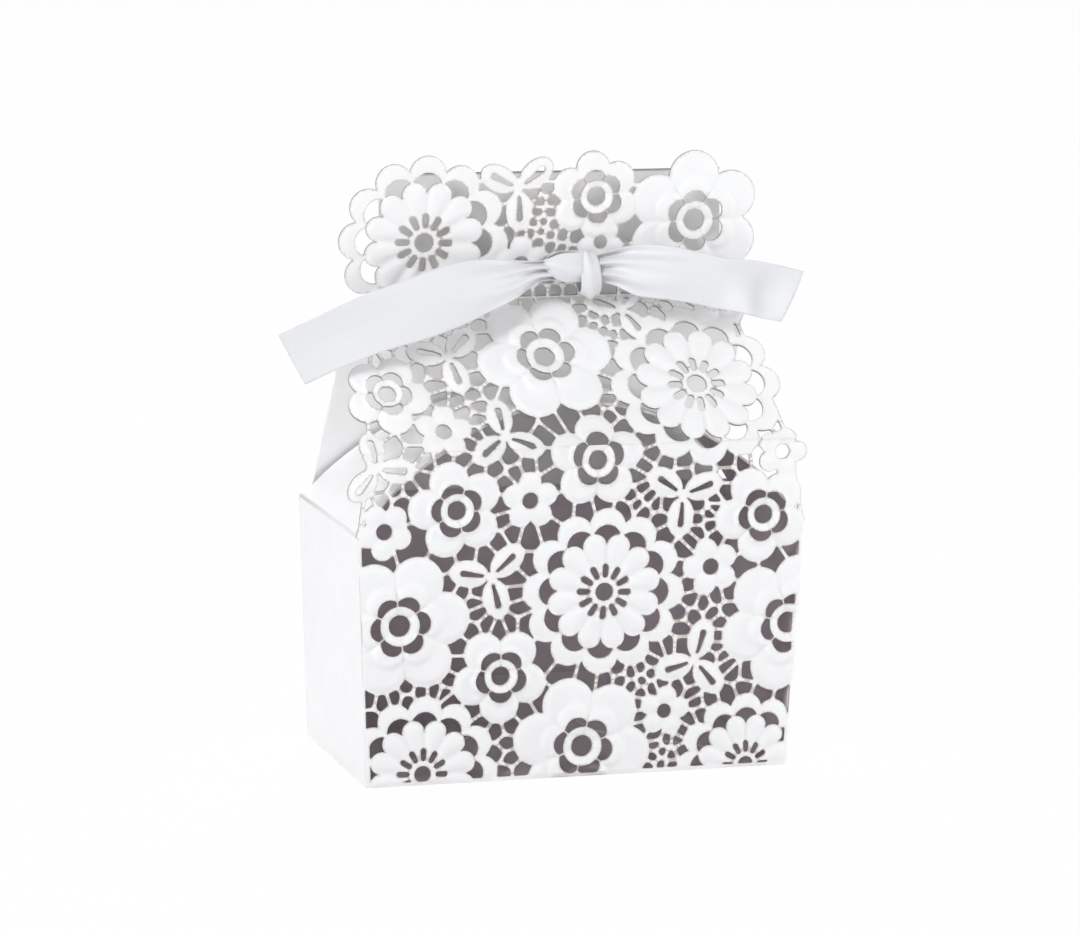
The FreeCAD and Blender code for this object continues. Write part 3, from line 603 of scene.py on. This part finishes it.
def card_material(name, colour, inner_shade=None, inward=(0, 0, 0), singed=False, dark_band_top=None, through=0.3):
    """Matt card with faint fibres.

    The inner shade colour is painted shade on the side that faces inward. Singed card is brown at its cut
    edges, by the mesh's own attribute, and card given a top height has a thin dark band just below it.
    """
    material, tree, shader = new_material(name)
    place = tree.nodes.new("ShaderNodeTexCoord")
    fibre = tree.nodes.new("ShaderNodeTexNoise")
    fibre.inputs["Scale"].default_value = 2600.0
    fibre.inputs["Detail"].default_value = 5.0
    fibre.inputs["Roughness"].default_value = 0.6
    cloud = tree.nodes.new("ShaderNodeTexNoise")
    cloud.inputs["Scale"].default_value = 160.0
    cloud.inputs["Detail"].default_value = 3.0
    tree.links.new(place.outputs["Object"], fibre.inputs["Vector"])
    tree.links.new(place.outputs["Object"], cloud.inputs["Vector"])
    shaded = [c * CLOUD_SHADE for c in colour]
    colour_out = shades(tree, cloud.outputs["Fac"], shaded, colour, 0.35, 0.65)
    # Painted shade: the side that faces inward takes the greyer inner shade colour
    if inner_shade:
        facing = tree.nodes.new("ShaderNodeVectorMath")
        facing.operation = "DOT_PRODUCT"
        facing.inputs[1].default_value = inward
        tree.links.new(place.outputs["Normal"], facing.inputs[0])
        inner = tree.nodes.new("ShaderNodeMath")
        inner.operation = "GREATER_THAN"
        inner.inputs[1].default_value = FACES_INWARD
        tree.links.new(facing.outputs["Value"], inner.inputs[0])
        colour_out = laid_over(tree, colour_out, inner_shade, inner.outputs["Value"])
    # A thin dark band just below the top height given
    if dark_band_top:
        height = tree.nodes.new("ShaderNodeSeparateXYZ")
        tree.links.new(place.outputs["Object"], height.inputs["Vector"])
        top_band = tree.nodes.new("ShaderNodeMapRange")
        top_band.inputs["From Min"].default_value = dark_band_top - DARK_BAND_DEPTH * MM
        top_band.inputs["From Max"].default_value = dark_band_top
        tree.links.new(height.outputs["Z"], top_band.inputs["Value"])
        colour_out = laid_over(tree, colour_out, DARK_BAND, top_band.outputs["Result"])
    if singed:
        rim = tree.nodes.new("ShaderNodeAttribute")
        rim.attribute_name = "singe"
        scorch = tree.nodes.new("ShaderNodeMath")
        scorch.operation = "POWER"
        scorch.inputs[1].default_value = 1.9
        tree.links.new(rim.outputs["Fac"], scorch.inputs[0])
        faint = tree.nodes.new("ShaderNodeMath")
        faint.operation = "MULTIPLY"
        tree.links.new(scorch.outputs["Value"], faint.inputs[0])
        uneven = tree.nodes.new("ShaderNodeMapRange")
        uneven.inputs["From Min"].default_value = 0.3
        uneven.inputs["From Max"].default_value = 0.7
        uneven.inputs["To Min"].default_value = 0.35
        uneven.inputs["To Max"].default_value = 0.95
        tree.links.new(cloud.outputs["Fac"], uneven.inputs["Value"])
        tree.links.new(uneven.outputs["Result"], faint.inputs[1])
        colour_out = laid_over(tree, colour_out, SINGE, faint.outputs["Value"])
    tree.links.new(colour_out, shader.inputs["Base Color"])
    grain = tree.nodes.new("ShaderNodeBump")
    grain.inputs["Strength"].default_value = 0.10
    grain.inputs["Distance"].default_value = 0.00006
    tree.links.new(fibre.outputs["Fac"], grain.inputs["Height"])
    tree.links.new(grain.outputs["Normal"], shader.inputs["Normal"])
    gloss = tree.nodes.new("ShaderNodeMapRange")
    gloss.inputs["To Min"].default_value = 0.50
    gloss.inputs["To Max"].default_value = 0.66
    tree.links.new(fibre.outputs["Fac"], gloss.inputs["Value"])
    tree.links.new(gloss.outputs["Result"], shader.inputs["Roughness"])
    shader.inputs["Specular IOR Level"].default_value = 0.35
    shader.inputs["Subsurface Weight"].default_value = through
    shader.inputs["Subsurface Radius"].default_value = (1.0, 0.97, 0.93)
    shader.inputs["Subsurface Scale"].default_value = 0.0005
    return material


card_face = card_material("card_face", WHITE)
lace_face = card_material("lace_face", WHITE, singed=True)
# The lace's back faces the inside of the carton and is painted the greyer inner shade
lace_back_shaded = card_material("lace_back_shaded", INSIDE_SHADE, singed=True)
card_edge = card_material("card_edge", EDGE)


def satin_material():
    """White satin with a fine weave along the ribbon and a soft sheen."""
    material, tree, shader = new_material("satin")
    along = tree.nodes.new("ShaderNodeUVMap")
    along.uv_map = "weave"
    warp = tree.nodes.new("ShaderNodeTexWave")
    warp.wave_type = "BANDS"
    warp.bands_direction = "X"
    warp.inputs["Scale"].default_value = 22.0
    warp.inputs["Distortion"].default_value = 0.6
    warp.inputs["Detail"].default_value = 2.0
    tree.links.new(along.outputs["UV"], warp.inputs["Vector"])
    streak = tree.nodes.new("ShaderNodeTexNoise")
    streak.inputs["Scale"].default_value = 1.0
    streak.inputs["Detail"].default_value = 4.0
    stretch = tree.nodes.new("ShaderNodeMapping")
    stretch.inputs["Scale"].default_value = (26.0, 0.35, 1.0)
    tree.links.new(along.outputs["UV"], stretch.inputs["Vector"])
    tree.links.new(stretch.outputs["Vector"], streak.inputs["Vector"])
    tint = shades(tree, streak.outputs["Fac"], SATIN_DARK, SATIN_PALE, 0.3, 0.7)
    tree.links.new(tint, shader.inputs["Base Color"])
    weave = tree.nodes.new("ShaderNodeBump")
    weave.inputs["Strength"].default_value = 0.05
    weave.inputs["Distance"].default_value = 0.00003
    tree.links.new(warp.outputs["Fac"], weave.inputs["Height"])
    tree.links.new(weave.outputs["Normal"], shader.inputs["Normal"])
    shader.inputs["Roughness"].default_value = 0.44
    shader.inputs["Anisotropic"].default_value = 0.4
    shader.inputs["Sheen Weight"].default_value = 0.25
    shader.inputs["Sheen Roughness"].default_value = 0.4
    shader.inputs["Specular IOR Level"].default_value = 0.35
    return material


satin = satin_material()


# Lace panels: the grounds that the net fills, the limits of the grids and the ribbon's eyelets
FRONT_GROUND = [(-38.6, 0.0), (38.6, 0.0), (40.2, 43.5), (31.0, 88.5), (-33.0, 88.5), (-37.6, 66.0),
                (-40.2, 43.5)]
CREST_GROUND = [(-31.0, -0.5), (31.0, -0.5), (33.0, 9.0), (28.0, 19.0), (-12.0, 21.5), (-30.0, 19.0),
                (-34.0, 9.0)]
FRONT_REACH = (-43.0, 43.0, -0.3, 88.6)
CREST_REACH = (-42.0, 40.0, -0.3, 27.5)
FRONT_SEED = 11
CREST_SEED = 13
MARGIN = 0.7
LEFT_EYELET = -1.7
RIGHT_EYELET = 6.7
EYELET_HEIGHT = 4.8
EYELET_RADIUS = 2.4


def wall_fold(x, y):
    """The wall is folded at its base, and below the shoulders at its sides."""
    side = np.abs(x) - (HALF_BASE + (HALF_SHOULDER - HALF_BASE) * y / SHOULDER)
    return np.maximum(-y, np.where(y < SHOULDER, side, -FAR))


def wall_edge(x, y):
    """All of the wall's white edges: its folds and the crease."""
    return np.maximum(wall_fold(x, y), y - CREASE)


def roof_edge(x, y):
    """The roof is folded at the crease and at the neck."""
    return np.maximum(CREASE - y, y - CREASE - ROOF_LENGTH)


def front_fold(x, y):
    """Folds of the wall and the roof together, apart from the crease that the lace runs across."""
    return np.maximum(wall_fold(x, y), y - CREASE - ROOF_LENGTH)


def crest_edge(x, y):
    """The crest is folded at the neck."""
    return -y


def crest_trim(x, y):
    """The crest starts at the neck and has two eyelets for the ribbon."""
    left = np.hypot(x - LEFT_EYELET, y - EYELET_HEIGHT)
    right = np.hypot(x - RIGHT_EYELET, y - EYELET_HEIGHT)
    return np.maximum(-y, EYELET_RADIUS - np.minimum(left, right))


LACE = (lace_face, lace_back_shaded, card_edge)
LACE_WHITE = (lace_face, lace_face, card_edge)

front_lace = lace_outline(FRONT_MOTIFS, FRONT_GROUND, front_fold, MARGIN, FRONT_REACH, FRONT_SEED)
wall_lace = trimmed(front_lace, FRONT_REACH, wall_edge)
wall_mesh = lace_mesh("lace_front_wall", wall_lace, FRONT_REACH, FRONT_MOTIFS, wall_place, 0.0, wall_edge)
add_piece("lace_front_wall", wall_mesh, LACE, "carton", "card", "front_wall")

roof_lace = trimmed(front_lace, FRONT_REACH, roof_edge)
roof_mesh = lace_mesh("lace_front_roof", roof_lace, FRONT_REACH, FRONT_MOTIFS, roof_place,
                      CREASE + ROOF_LENGTH, roof_edge)
add_piece("lace_front_roof", roof_mesh, LACE_WHITE, "front_flap", "card", "front_roof")

whole_crest = lace_outline(CREST_MOTIFS, CREST_GROUND, crest_edge, MARGIN, CREST_REACH, CREST_SEED)
crest_lace = trimmed(whole_crest, CREST_REACH, crest_trim)
crest_mesh = lace_mesh("lace_front_crest", crest_lace, CREST_REACH, CREST_MOTIFS, crest_place,
                       0.0, crest_edge)
add_piece("lace_front_crest", crest_mesh, LACE_WHITE, "front_flap", "card", "front_crest")


# Plain card panels keep their solids
def dress(name, material):
    """Give a solid's own node one material."""
    nodes[name].data.materials.clear()
    nodes[name].data.materials.append(material)


# The side of each panel that faces the closed space is painted a greyer shade, for the shade inside the
# carton
INWARD = {
    "back_wall": (0, -1, 0),
    "left_wall": (1, 0, 0),
    "right_wall": (-1, 0, 0),
    "seam_flap": (0, -1, 0),
    "base_panel": (0, 0, 1),
    "base_left_flap": (0, 0, 1),
    "base_right_flap": (0, 0, 1),
    "base_tongue": (0, -1, 0),
    "left_vault_flap": (0, 0, -1),
    "right_vault_flap": (0, 0, -1),
}
for name, inward in INWARD.items():
    dress(name, card_material("card_" + name, WHITE, INSIDE_SHADE, inward))

# The back flap lets a little light through. Its crest is painted a greyer shade on the side towards the lace,
# for the shade between the two crests, and is darker in a thin band along its top
crest_top = max(vertex.co.z for vertex in nodes["back_crest"].data.vertices)
dress("back_roof", card_material("card_back_roof", WHITE, through=0.45))
dress("back_crest", card_material("card_back_crest", WHITE, CREST_GAP_SHADE, (0, -1, 0), dark_band_top=crest_top))

# Rounded score lines over the creases of the plain card
SCORE_RADIUS = 0.415
SCORE_SKIN = 0.03
SCORE_STEPS = 12
BACK_SCORE = 19.6
BACK_SCORE_HALF = 37.9
SIDE_SCORE = 39.6
SIDE_SCORE_HALF = 19.5


def score_line(name, start, end, first, last):
    """A rounded fold from one end of a crease to the other, between the ways its two panels face."""
    first, last = Vector(first).normalized(), Vector(last).normalized()
    spots, faces = [], []
    for step in range(SCORE_STEPS + 1):
        out = first.lerp(last, step / SCORE_STEPS).normalized() * SCORE_RADIUS
        spots += [(Vector(start) + out) * MM, (Vector(end) + out) * MM]
    for step in range(SCORE_STEPS):
        here = 2 * step
        faces.append((here, here + 1, here + 3, here + 2))
    mesh = bpy.data.meshes.new(name)
    mesh.from_pydata(spots, [], faces)
    mesh.shade_smooth()
    piece = add_piece(name, mesh, [card_face], "carton", "card")
    skin = piece.modifiers.new("skin", "SOLIDIFY")
    skin.thickness = SCORE_SKIN * MM
    skin.offset = 0


score_line("score_back", (-BACK_SCORE_HALF, BACK_SCORE, SHOULDER), (BACK_SCORE_HALF, BACK_SCORE, SHOULDER),
           (0, 1, -0.5), (0, 0.6, 0.8))
score_line("score_left", (-SIDE_SCORE, SIDE_SCORE_HALF, SHOULDER), (-SIDE_SCORE, -SIDE_SCORE_HALF, SHOULDER),
           (-1, 0, -0.5), (-0.4, 0, 1))
score_line("score_right", (SIDE_SCORE, -SIDE_SCORE_HALF, SHOULDER), (SIDE_SCORE, SIDE_SCORE_HALF, SHOULDER),
           (1, 0, -0.5), (0.4, 0, 1))


# Ribbon: its thickness, the steps of its meshes, and the edges of its tails as across and up
RIBBON_THICKNESS = 0.16
WEAVE_LENGTH = 10
TAIL_STEPS = 90
TURN_STEPS = 97
LOOP_STEPS = 121
ACROSS_STEPS = 33
LOOP_ACROSS_STEPS = 37
PLEAT_WAVES = 5
TUCK_PLACE = 0.84
TUCK_WIDTH = 0.09
LEFT_UPPER = [(0.6, 87.9), (-6.5, 88.1), (-12.0, 88.7), (-18.0, 89.2), (-24.0, 88.4), (-31.4, 86.1),
              (-38.6, 83.7), (-45.6, 80.6), (-52.6, 77.7)]
LEFT_LOWER = [(0.6, 84.6), (-4.6, 84.4), (-9.3, 81.9), (-14.3, 80.3), (-19.6, 78.4), (-26.4, 76.2),
              (-33.6, 74.4), (-41.0, 71.8), (-47.8, 69.1)]
LEFT_DEPTH = [-5.4, -6.2, -8.0, -10.4, -12.2, -12.9, -12.9, -12.7, -13.2]
LEFT_PLEATS = [1.0, 0.75, 0.35, 0.1, 0.0, 0.0, 0.0, 0.0, 0.0]
LEFT_BOW = [0.0, 0.4, 0.8, 1.0, 0.7, 0.2, -0.3, -0.5, -0.2]
LEFT_TUCK = [0.0, 0.2, 0.2, 0.0, 0.0, 0.0, 0.0, 0.0, 0.0]
RIGHT_UPPER = [(4.4, 88.2), (8.9, 89.7), (13.0, 90.7), (18.0, 90.6), (22.8, 89.7), (27.6, 88.5),
               (32.4, 87.9), (37.0, 87.0), (42.4, 85.7)]
RIGHT_LOWER = [(4.4, 84.6), (8.8, 83.6), (12.8, 81.8), (17.4, 81.4), (21.6, 80.8), (26.4, 79.7),
               (30.6, 78.8), (34.6, 77.6), (38.5, 76.9)]
RIGHT_DEPTH = [-5.4, -6.3, -8.0, -10.2, -11.5, -11.4, -10.2, -9.0, -10.4]
RIGHT_PLEATS = [1.0, 0.7, 0.3, 0.1, 0.0, 0.0, 0.0, 0.0, 0.0]
RIGHT_BOW = [0.0, 0.6, 1.2, 1.3, 0.6, -0.2, -0.9, -0.6, 0.5]
RIGHT_TUCK = [0.0, 1.3, 1.1, 0.4, 0.0, 0.0, 0.0, 0.0, 0.0]

# The knot's depth, and the loop behind it: its path as across and away, half its width, and its height
KNOT_DEPTH = -5.3
LOOP_PATH = [(-0.4, -4.3), (-1.7, -2.6), (-1.9, 0.0), (-1.7, 2.5), (0.4, 3.5), (2.5, 3.75), (4.6, 3.5),
             (6.7, 2.5), (6.9, 0.0), (6.7, -2.6), (5.4, -4.3)]
LOOP_HALVES = [2.0, 1.7, 1.6, 2.0, 3.8, 4.6, 3.8, 2.0, 1.6, 1.7, 2.0]
LOOP_HEIGHT = 85.8
LOOP_PLEAT = 0.75
LOOP_WAVES = 2.5
GATHERED_HALF = 1.6
SPREAD_RANGE = 3.2


def smooth_through(marks, values, where):
    """A smooth curve through values at rising marks, read at other marks."""
    values = np.asarray(values, float)
    marks = np.asarray(marks, float)
    slope = np.gradient(values, marks, axis=0)
    k = np.clip(np.searchsorted(marks, where, side="right") - 1, 0, len(marks) - 2)
    width = (marks[k + 1] - marks[k])[:, None]
    t = ((where - marks[k]) / width[:, 0])[:, None]
    a, b = values[k], values[k + 1]
    return ((2 * t ** 3 - 3 * t ** 2 + 1) * a + (t ** 3 - 2 * t ** 2 + t) * width * slope[k]
            + (3 * t ** 2 - 2 * t ** 3) * b + (t ** 3 - t ** 2) * width * slope[k + 1])


def smooth_values(values, where):
    """A smooth curve through single values at even marks, read at other marks."""
    marks = np.linspace(0, 1, len(values))
    return smooth_through(marks, np.array(values)[:, None], where)[:, 0]


def strip_mesh(name, strips):
    """Ribbon from strips, each made of rows of points across it, with a map of the weave."""
    spots, faces, weave = [], [], []
    for rows in strips:
        long, wide = rows.shape[:2]
        first = len(spots)
        spots += rows.reshape(-1, 3).tolist()
        for i in range(long - 1):
            for j in range(wide - 1):
                here = first + i * wide + j
                faces.append((here, here + 1, here + wide + 1, here + wide))
        run = np.concatenate([[0], np.cumsum(np.linalg.norm(np.diff(rows.mean(1), axis=0), axis=1))])
        weave += [(j / (wide - 1), run[i] / WEAVE_LENGTH) for i in range(long) for j in range(wide)]
    mesh = bpy.data.meshes.new(name)
    mesh.from_pydata((np.array(spots) * MM).tolist(), [], faces)
    layer = mesh.uv_layers.new(name="weave")
    for corner in mesh.loops:
        layer.data[corner.index].uv = weave[corner.vertex_index]
    mesh.shade_smooth()
    return mesh


def ribbon_piece(name, strips, stands_for):
    """A strip of the ribbon with its thickness."""
    piece = add_piece(name, strip_mesh(name, strips), [satin], "front_flap", "ribbon", stands_for)
    thick = piece.modifiers.new("thickness", "SOLIDIFY")
    thick.thickness = RIBBON_THICKNESS * MM
    thick.offset = 0


def tail_rows(upper, lower, depth, pleats, bow, tuck):
    """Rows across a tail between its edges, gathered in pleats and tucked in at the knot."""
    marks = np.linspace(0, 1, len(upper))
    where = np.linspace(0, 1, TAIL_STEPS)
    top = smooth_through(marks, upper, where)
    foot = smooth_through(marks, lower, where)
    level = smooth_values(depth, where)
    gather = smooth_values(pleats, where)
    curl = smooth_values(bow, where)
    tucked = smooth_values(tuck, where)
    rows = []
    for i in range(len(where)):
        c = np.linspace(0, 1, ACROSS_STEPS)
        x = foot[i, 0] + (top[i, 0] - foot[i, 0]) * c
        z = foot[i, 1] + (top[i, 1] - foot[i, 1]) * c
        y = level[i] - curl[i] * np.sin(math.pi * c) + gather[i] * np.sin(PLEAT_WAVES * math.pi * c)
        y = y + tucked[i] * np.exp(-((c - TUCK_PLACE) / TUCK_WIDTH) ** 2)
        rows.append(np.stack([x, y, z], 1))
    return np.array(rows)


left_rows = tail_rows(LEFT_UPPER, LEFT_LOWER, LEFT_DEPTH, LEFT_PLEATS, LEFT_BOW, LEFT_TUCK)
ribbon_piece("satin_left_tail", [left_rows], "ribbon_left_tail")
right_rows = tail_rows(RIGHT_UPPER, RIGHT_LOWER, RIGHT_DEPTH, RIGHT_PLEATS, RIGHT_BOW, RIGHT_TUCK)
ribbon_piece("satin_right_tail", [right_rows], "ribbon_right_tail")


def wrap_rows():
    """Rows of the knot's upright turn, which closes round the gathered ribbon."""
    middle, half_width, lean = 4.5, 1.8, 0.35
    height, half_depth, half_height = 85.4, 2.7, 4.2
    rows = []
    for turn in np.linspace(-math.pi, math.pi, TURN_STEPS):
        across = np.linspace(-1, 1, ACROSS_STEPS)
        fold = 0.06 * np.cos(5.5 * across + 0.8 * math.sin(turn) + 0.6)
        reach = (1 - 0.26 * np.abs(across) ** 3) * (0.95 + fold)
        x = middle + half_width * across - lean * math.sin(turn)
        y = KNOT_DEPTH - half_depth * reach * math.cos(turn)
        z = height + half_height * reach * math.sin(turn)
        rows.append(np.stack([x, y, z], 1))
    return np.array(rows)


def lobe_rows():
    """Rows of the knot's front lobe, which comes from under the upright turn and bends back at the left."""
    middle, half_length, half_depth = 0.5, 4.1, 2.5
    foot, top = 84.3, 89.4
    foot_rise, top_fall = 1.9, 1.2
    rows = []
    for turn in np.linspace(-math.pi, math.pi, TURN_STEPS):
        across = np.linspace(-1, 1, ACROSS_STEPS)
        left_share = max(0.0, -math.sin(turn)) ** 2
        low = foot + foot_rise * left_share
        high = top - top_fall * left_share
        fold = 0.07 * np.cos(4.5 * across + 1.4 * math.sin(turn))
        reach = (1 - 0.45 * np.abs(across) ** 2.6) * (0.96 + fold)
        x = middle + half_length * (0.72 + 0.28 * reach) * math.sin(turn)
        y = KNOT_DEPTH - half_depth * reach * math.cos(turn)
        z = (low + high) / 2 + (high - low) / 2 * across
        rows.append(np.stack([x, y, z], 1))
    return np.array(rows)


ribbon_piece("satin_knot", [wrap_rows(), lobe_rows()], "ribbon_knot")


def loop_rows():
    """Rows of the ribbon's run from the knot through both crests and across the back."""
    where = np.linspace(0, 1, LOOP_STEPS)
    line = smooth_through(np.linspace(0, 1, len(LOOP_PATH)), LOOP_PATH, where)
    half = smooth_values(LOOP_HALVES, where)
    ahead = np.gradient(line, axis=0)
    ahead /= np.linalg.norm(ahead, axis=1)[:, None]
    rows = []
    for i in range(len(where)):
        c = np.linspace(-1, 1, LOOP_ACROSS_STEPS)
        gathered = 1 - (half[i] - GATHERED_HALF) / SPREAD_RANGE
        fold = LOOP_PLEAT * gathered * np.sin(LOOP_WAVES * math.pi * c)
        x = line[i, 0] - ahead[i, 1] * fold
        y = line[i, 1] + ahead[i, 0] * fold
        rows.append(np.stack([x, y, LOOP_HEIGHT + half[i] * c], 1))
    return np.array(rows)


ribbon_piece("satin_loop", [loop_rows()], "ribbon_loop")

# Floor and light
FLOOR = 4.0
FLOOR_COLOUR = (0.86, 0.86, 0.86)
FLOOR_WHITE = 0.975
SKY_COLOUR = (0.97, 0.98, 1.0)
SKY_STRENGTH = 0.42


def seen_plainly(tree):
    """1 for rays of the camera, of reflections and through clear things, and 0 for light that bounces."""
    rays = tree.nodes.new("ShaderNodeLightPath")
    found = rays.outputs["Is Camera Ray"]
    for kind in ("Is Glossy Ray", "Is Transmission Ray"):
        either = tree.nodes.new("ShaderNodeMath")
        either.operation = "MAXIMUM"
        tree.links.new(found, either.inputs[0])
        tree.links.new(rays.outputs[kind], either.inputs[1])
        found = either.outputs["Value"]
    return found


floor_mesh = bpy.data.meshes.new("floor")
floor_mesh.from_pydata([(-FLOOR, -FLOOR, 0), (FLOOR, -FLOOR, 0), (FLOOR, FLOOR, 0), (-FLOOR, FLOOR, 0)],
                       [], [(0, 1, 2, 3)])
floor = bpy.data.objects.new("floor", floor_mesh)
bpy.context.scene.collection.objects.link(floor)
floor_material, tree, shader = new_material("floor_white")
shader.inputs["Base Color"].default_value = (*FLOOR_COLOUR, 1)
shader.inputs["Roughness"].default_value = 0.9
shader.inputs["Specular IOR Level"].default_value = 0.1
glow = tree.nodes.new("ShaderNodeEmission")
glow.inputs["Strength"].default_value = 1.0
part = tree.nodes.new("ShaderNodeMath")
part.operation = "MULTIPLY"
part.inputs[1].default_value = FLOOR_WHITE
tree.links.new(seen_plainly(tree), part.inputs[0])
mixed = tree.nodes.new("ShaderNodeMixShader")
tree.links.new(part.outputs["Value"], mixed.inputs["Fac"])
tree.links.new(shader.outputs["BSDF"], mixed.inputs[1])
tree.links.new(glow.outputs["Emission"], mixed.inputs[2])
output = [node for node in tree.nodes if node.type == "OUTPUT_MATERIAL"][0]
tree.links.new(mixed.outputs["Shader"], output.inputs["Surface"])
floor_mesh.materials.append(floor_material)

world = bpy.data.worlds.new("studio")
bpy.context.scene.world = world
world.use_nodes = True
tree = world.node_tree
tree.nodes.clear()
sky = tree.nodes.new("ShaderNodeBackground")
sky.inputs["Color"].default_value = (*SKY_COLOUR, 1)
sky.inputs["Strength"].default_value = SKY_STRENGTH
plain = tree.nodes.new("ShaderNodeBackground")
plain.inputs["Color"].default_value = (1, 1, 1, 1)
plain.inputs["Strength"].default_value = 1.0
mixed = tree.nodes.new("ShaderNodeMixShader")
tree.links.new(seen_plainly(tree), mixed.inputs["Fac"])
tree.links.new(sky.outputs["Background"], mixed.inputs[1])
tree.links.new(plain.outputs["Background"], mixed.inputs[2])
output = tree.nodes.new("ShaderNodeOutputWorld")
tree.links.new(mixed.outputs["Shader"], output.inputs["Surface"])


def soft_lamp(name, place, aim, across, power):
    """A square studio lamp that looks at a point; lengths in metres and power in watts."""
    lamp = bpy.data.lights.new(name, "AREA")
    lamp.shape = "SQUARE"
    lamp.size = across
    lamp.energy = power
    holder = bpy.data.objects.new(name, lamp)
    bpy.context.scene.collection.objects.link(holder)
    holder.location = place
    holder.rotation_euler = (Vector(aim) - Vector(place)).to_track_quat("-Z", "Y").to_euler()


soft_lamp("key", (-0.70, -0.66, 0.78), (0, 0, 0.06), 0.28, 5.8)
soft_lamp("fill", (0.45, -0.90, 0.30), (0, 0, 0.05), 0.6, 1.15)
soft_lamp("gable", (0.72, -0.20, 0.10), (0, 0, 0.07), 0.2, 1.8)
soft_lamp("side", (-0.80, -0.20, 0.12), (0, 0, 0.06), 0.3, 1.45)
soft_lamp("rear", (0.15, 0.62, 0.95), (0, 0, 0.05), 0.5, 4.4)

# Camera at the photograph's viewing angle
FOCAL_PIXELS = 5000
IMAGE_WIDTH = 1080
SENSOR = 36
SIDE = math.radians(17.459)
ABOVE = math.radians(10.648)
ROLL = math.radians(1.119)
AWAY = 873.53
AIM = Vector((-1.802, 0.0, 50.674))
back = Vector((-math.sin(SIDE) * math.cos(ABOVE), -math.cos(SIDE) * math.cos(ABOVE), math.sin(ABOVE)))
level_right = (-back).cross(Vector((0, 0, 1))).normalized()
level_up = level_right.cross(-back)
right_axis = math.cos(ROLL) * level_right + math.sin(ROLL) * level_up
up_axis = -math.sin(ROLL) * level_right + math.cos(ROLL) * level_up
camera = bpy.data.cameras.new("camera")
camera.lens = FOCAL_PIXELS / IMAGE_WIDTH * SENSOR
camera.sensor_fit = "HORIZONTAL"
camera.sensor_width = SENSOR
holder = bpy.data.objects.new("camera", camera)
bpy.context.scene.collection.objects.link(holder)
turned = Matrix((right_axis, up_axis, back)).transposed().to_4x4()
turned.translation = (AIM + AWAY * back) * MM
holder.matrix_world = turned
camera.clip_start = 0.05
camera.clip_end = 20
bpy.context.scene.camera = holder
bpy.context.scene.view_settings.view_transform = "Standard"
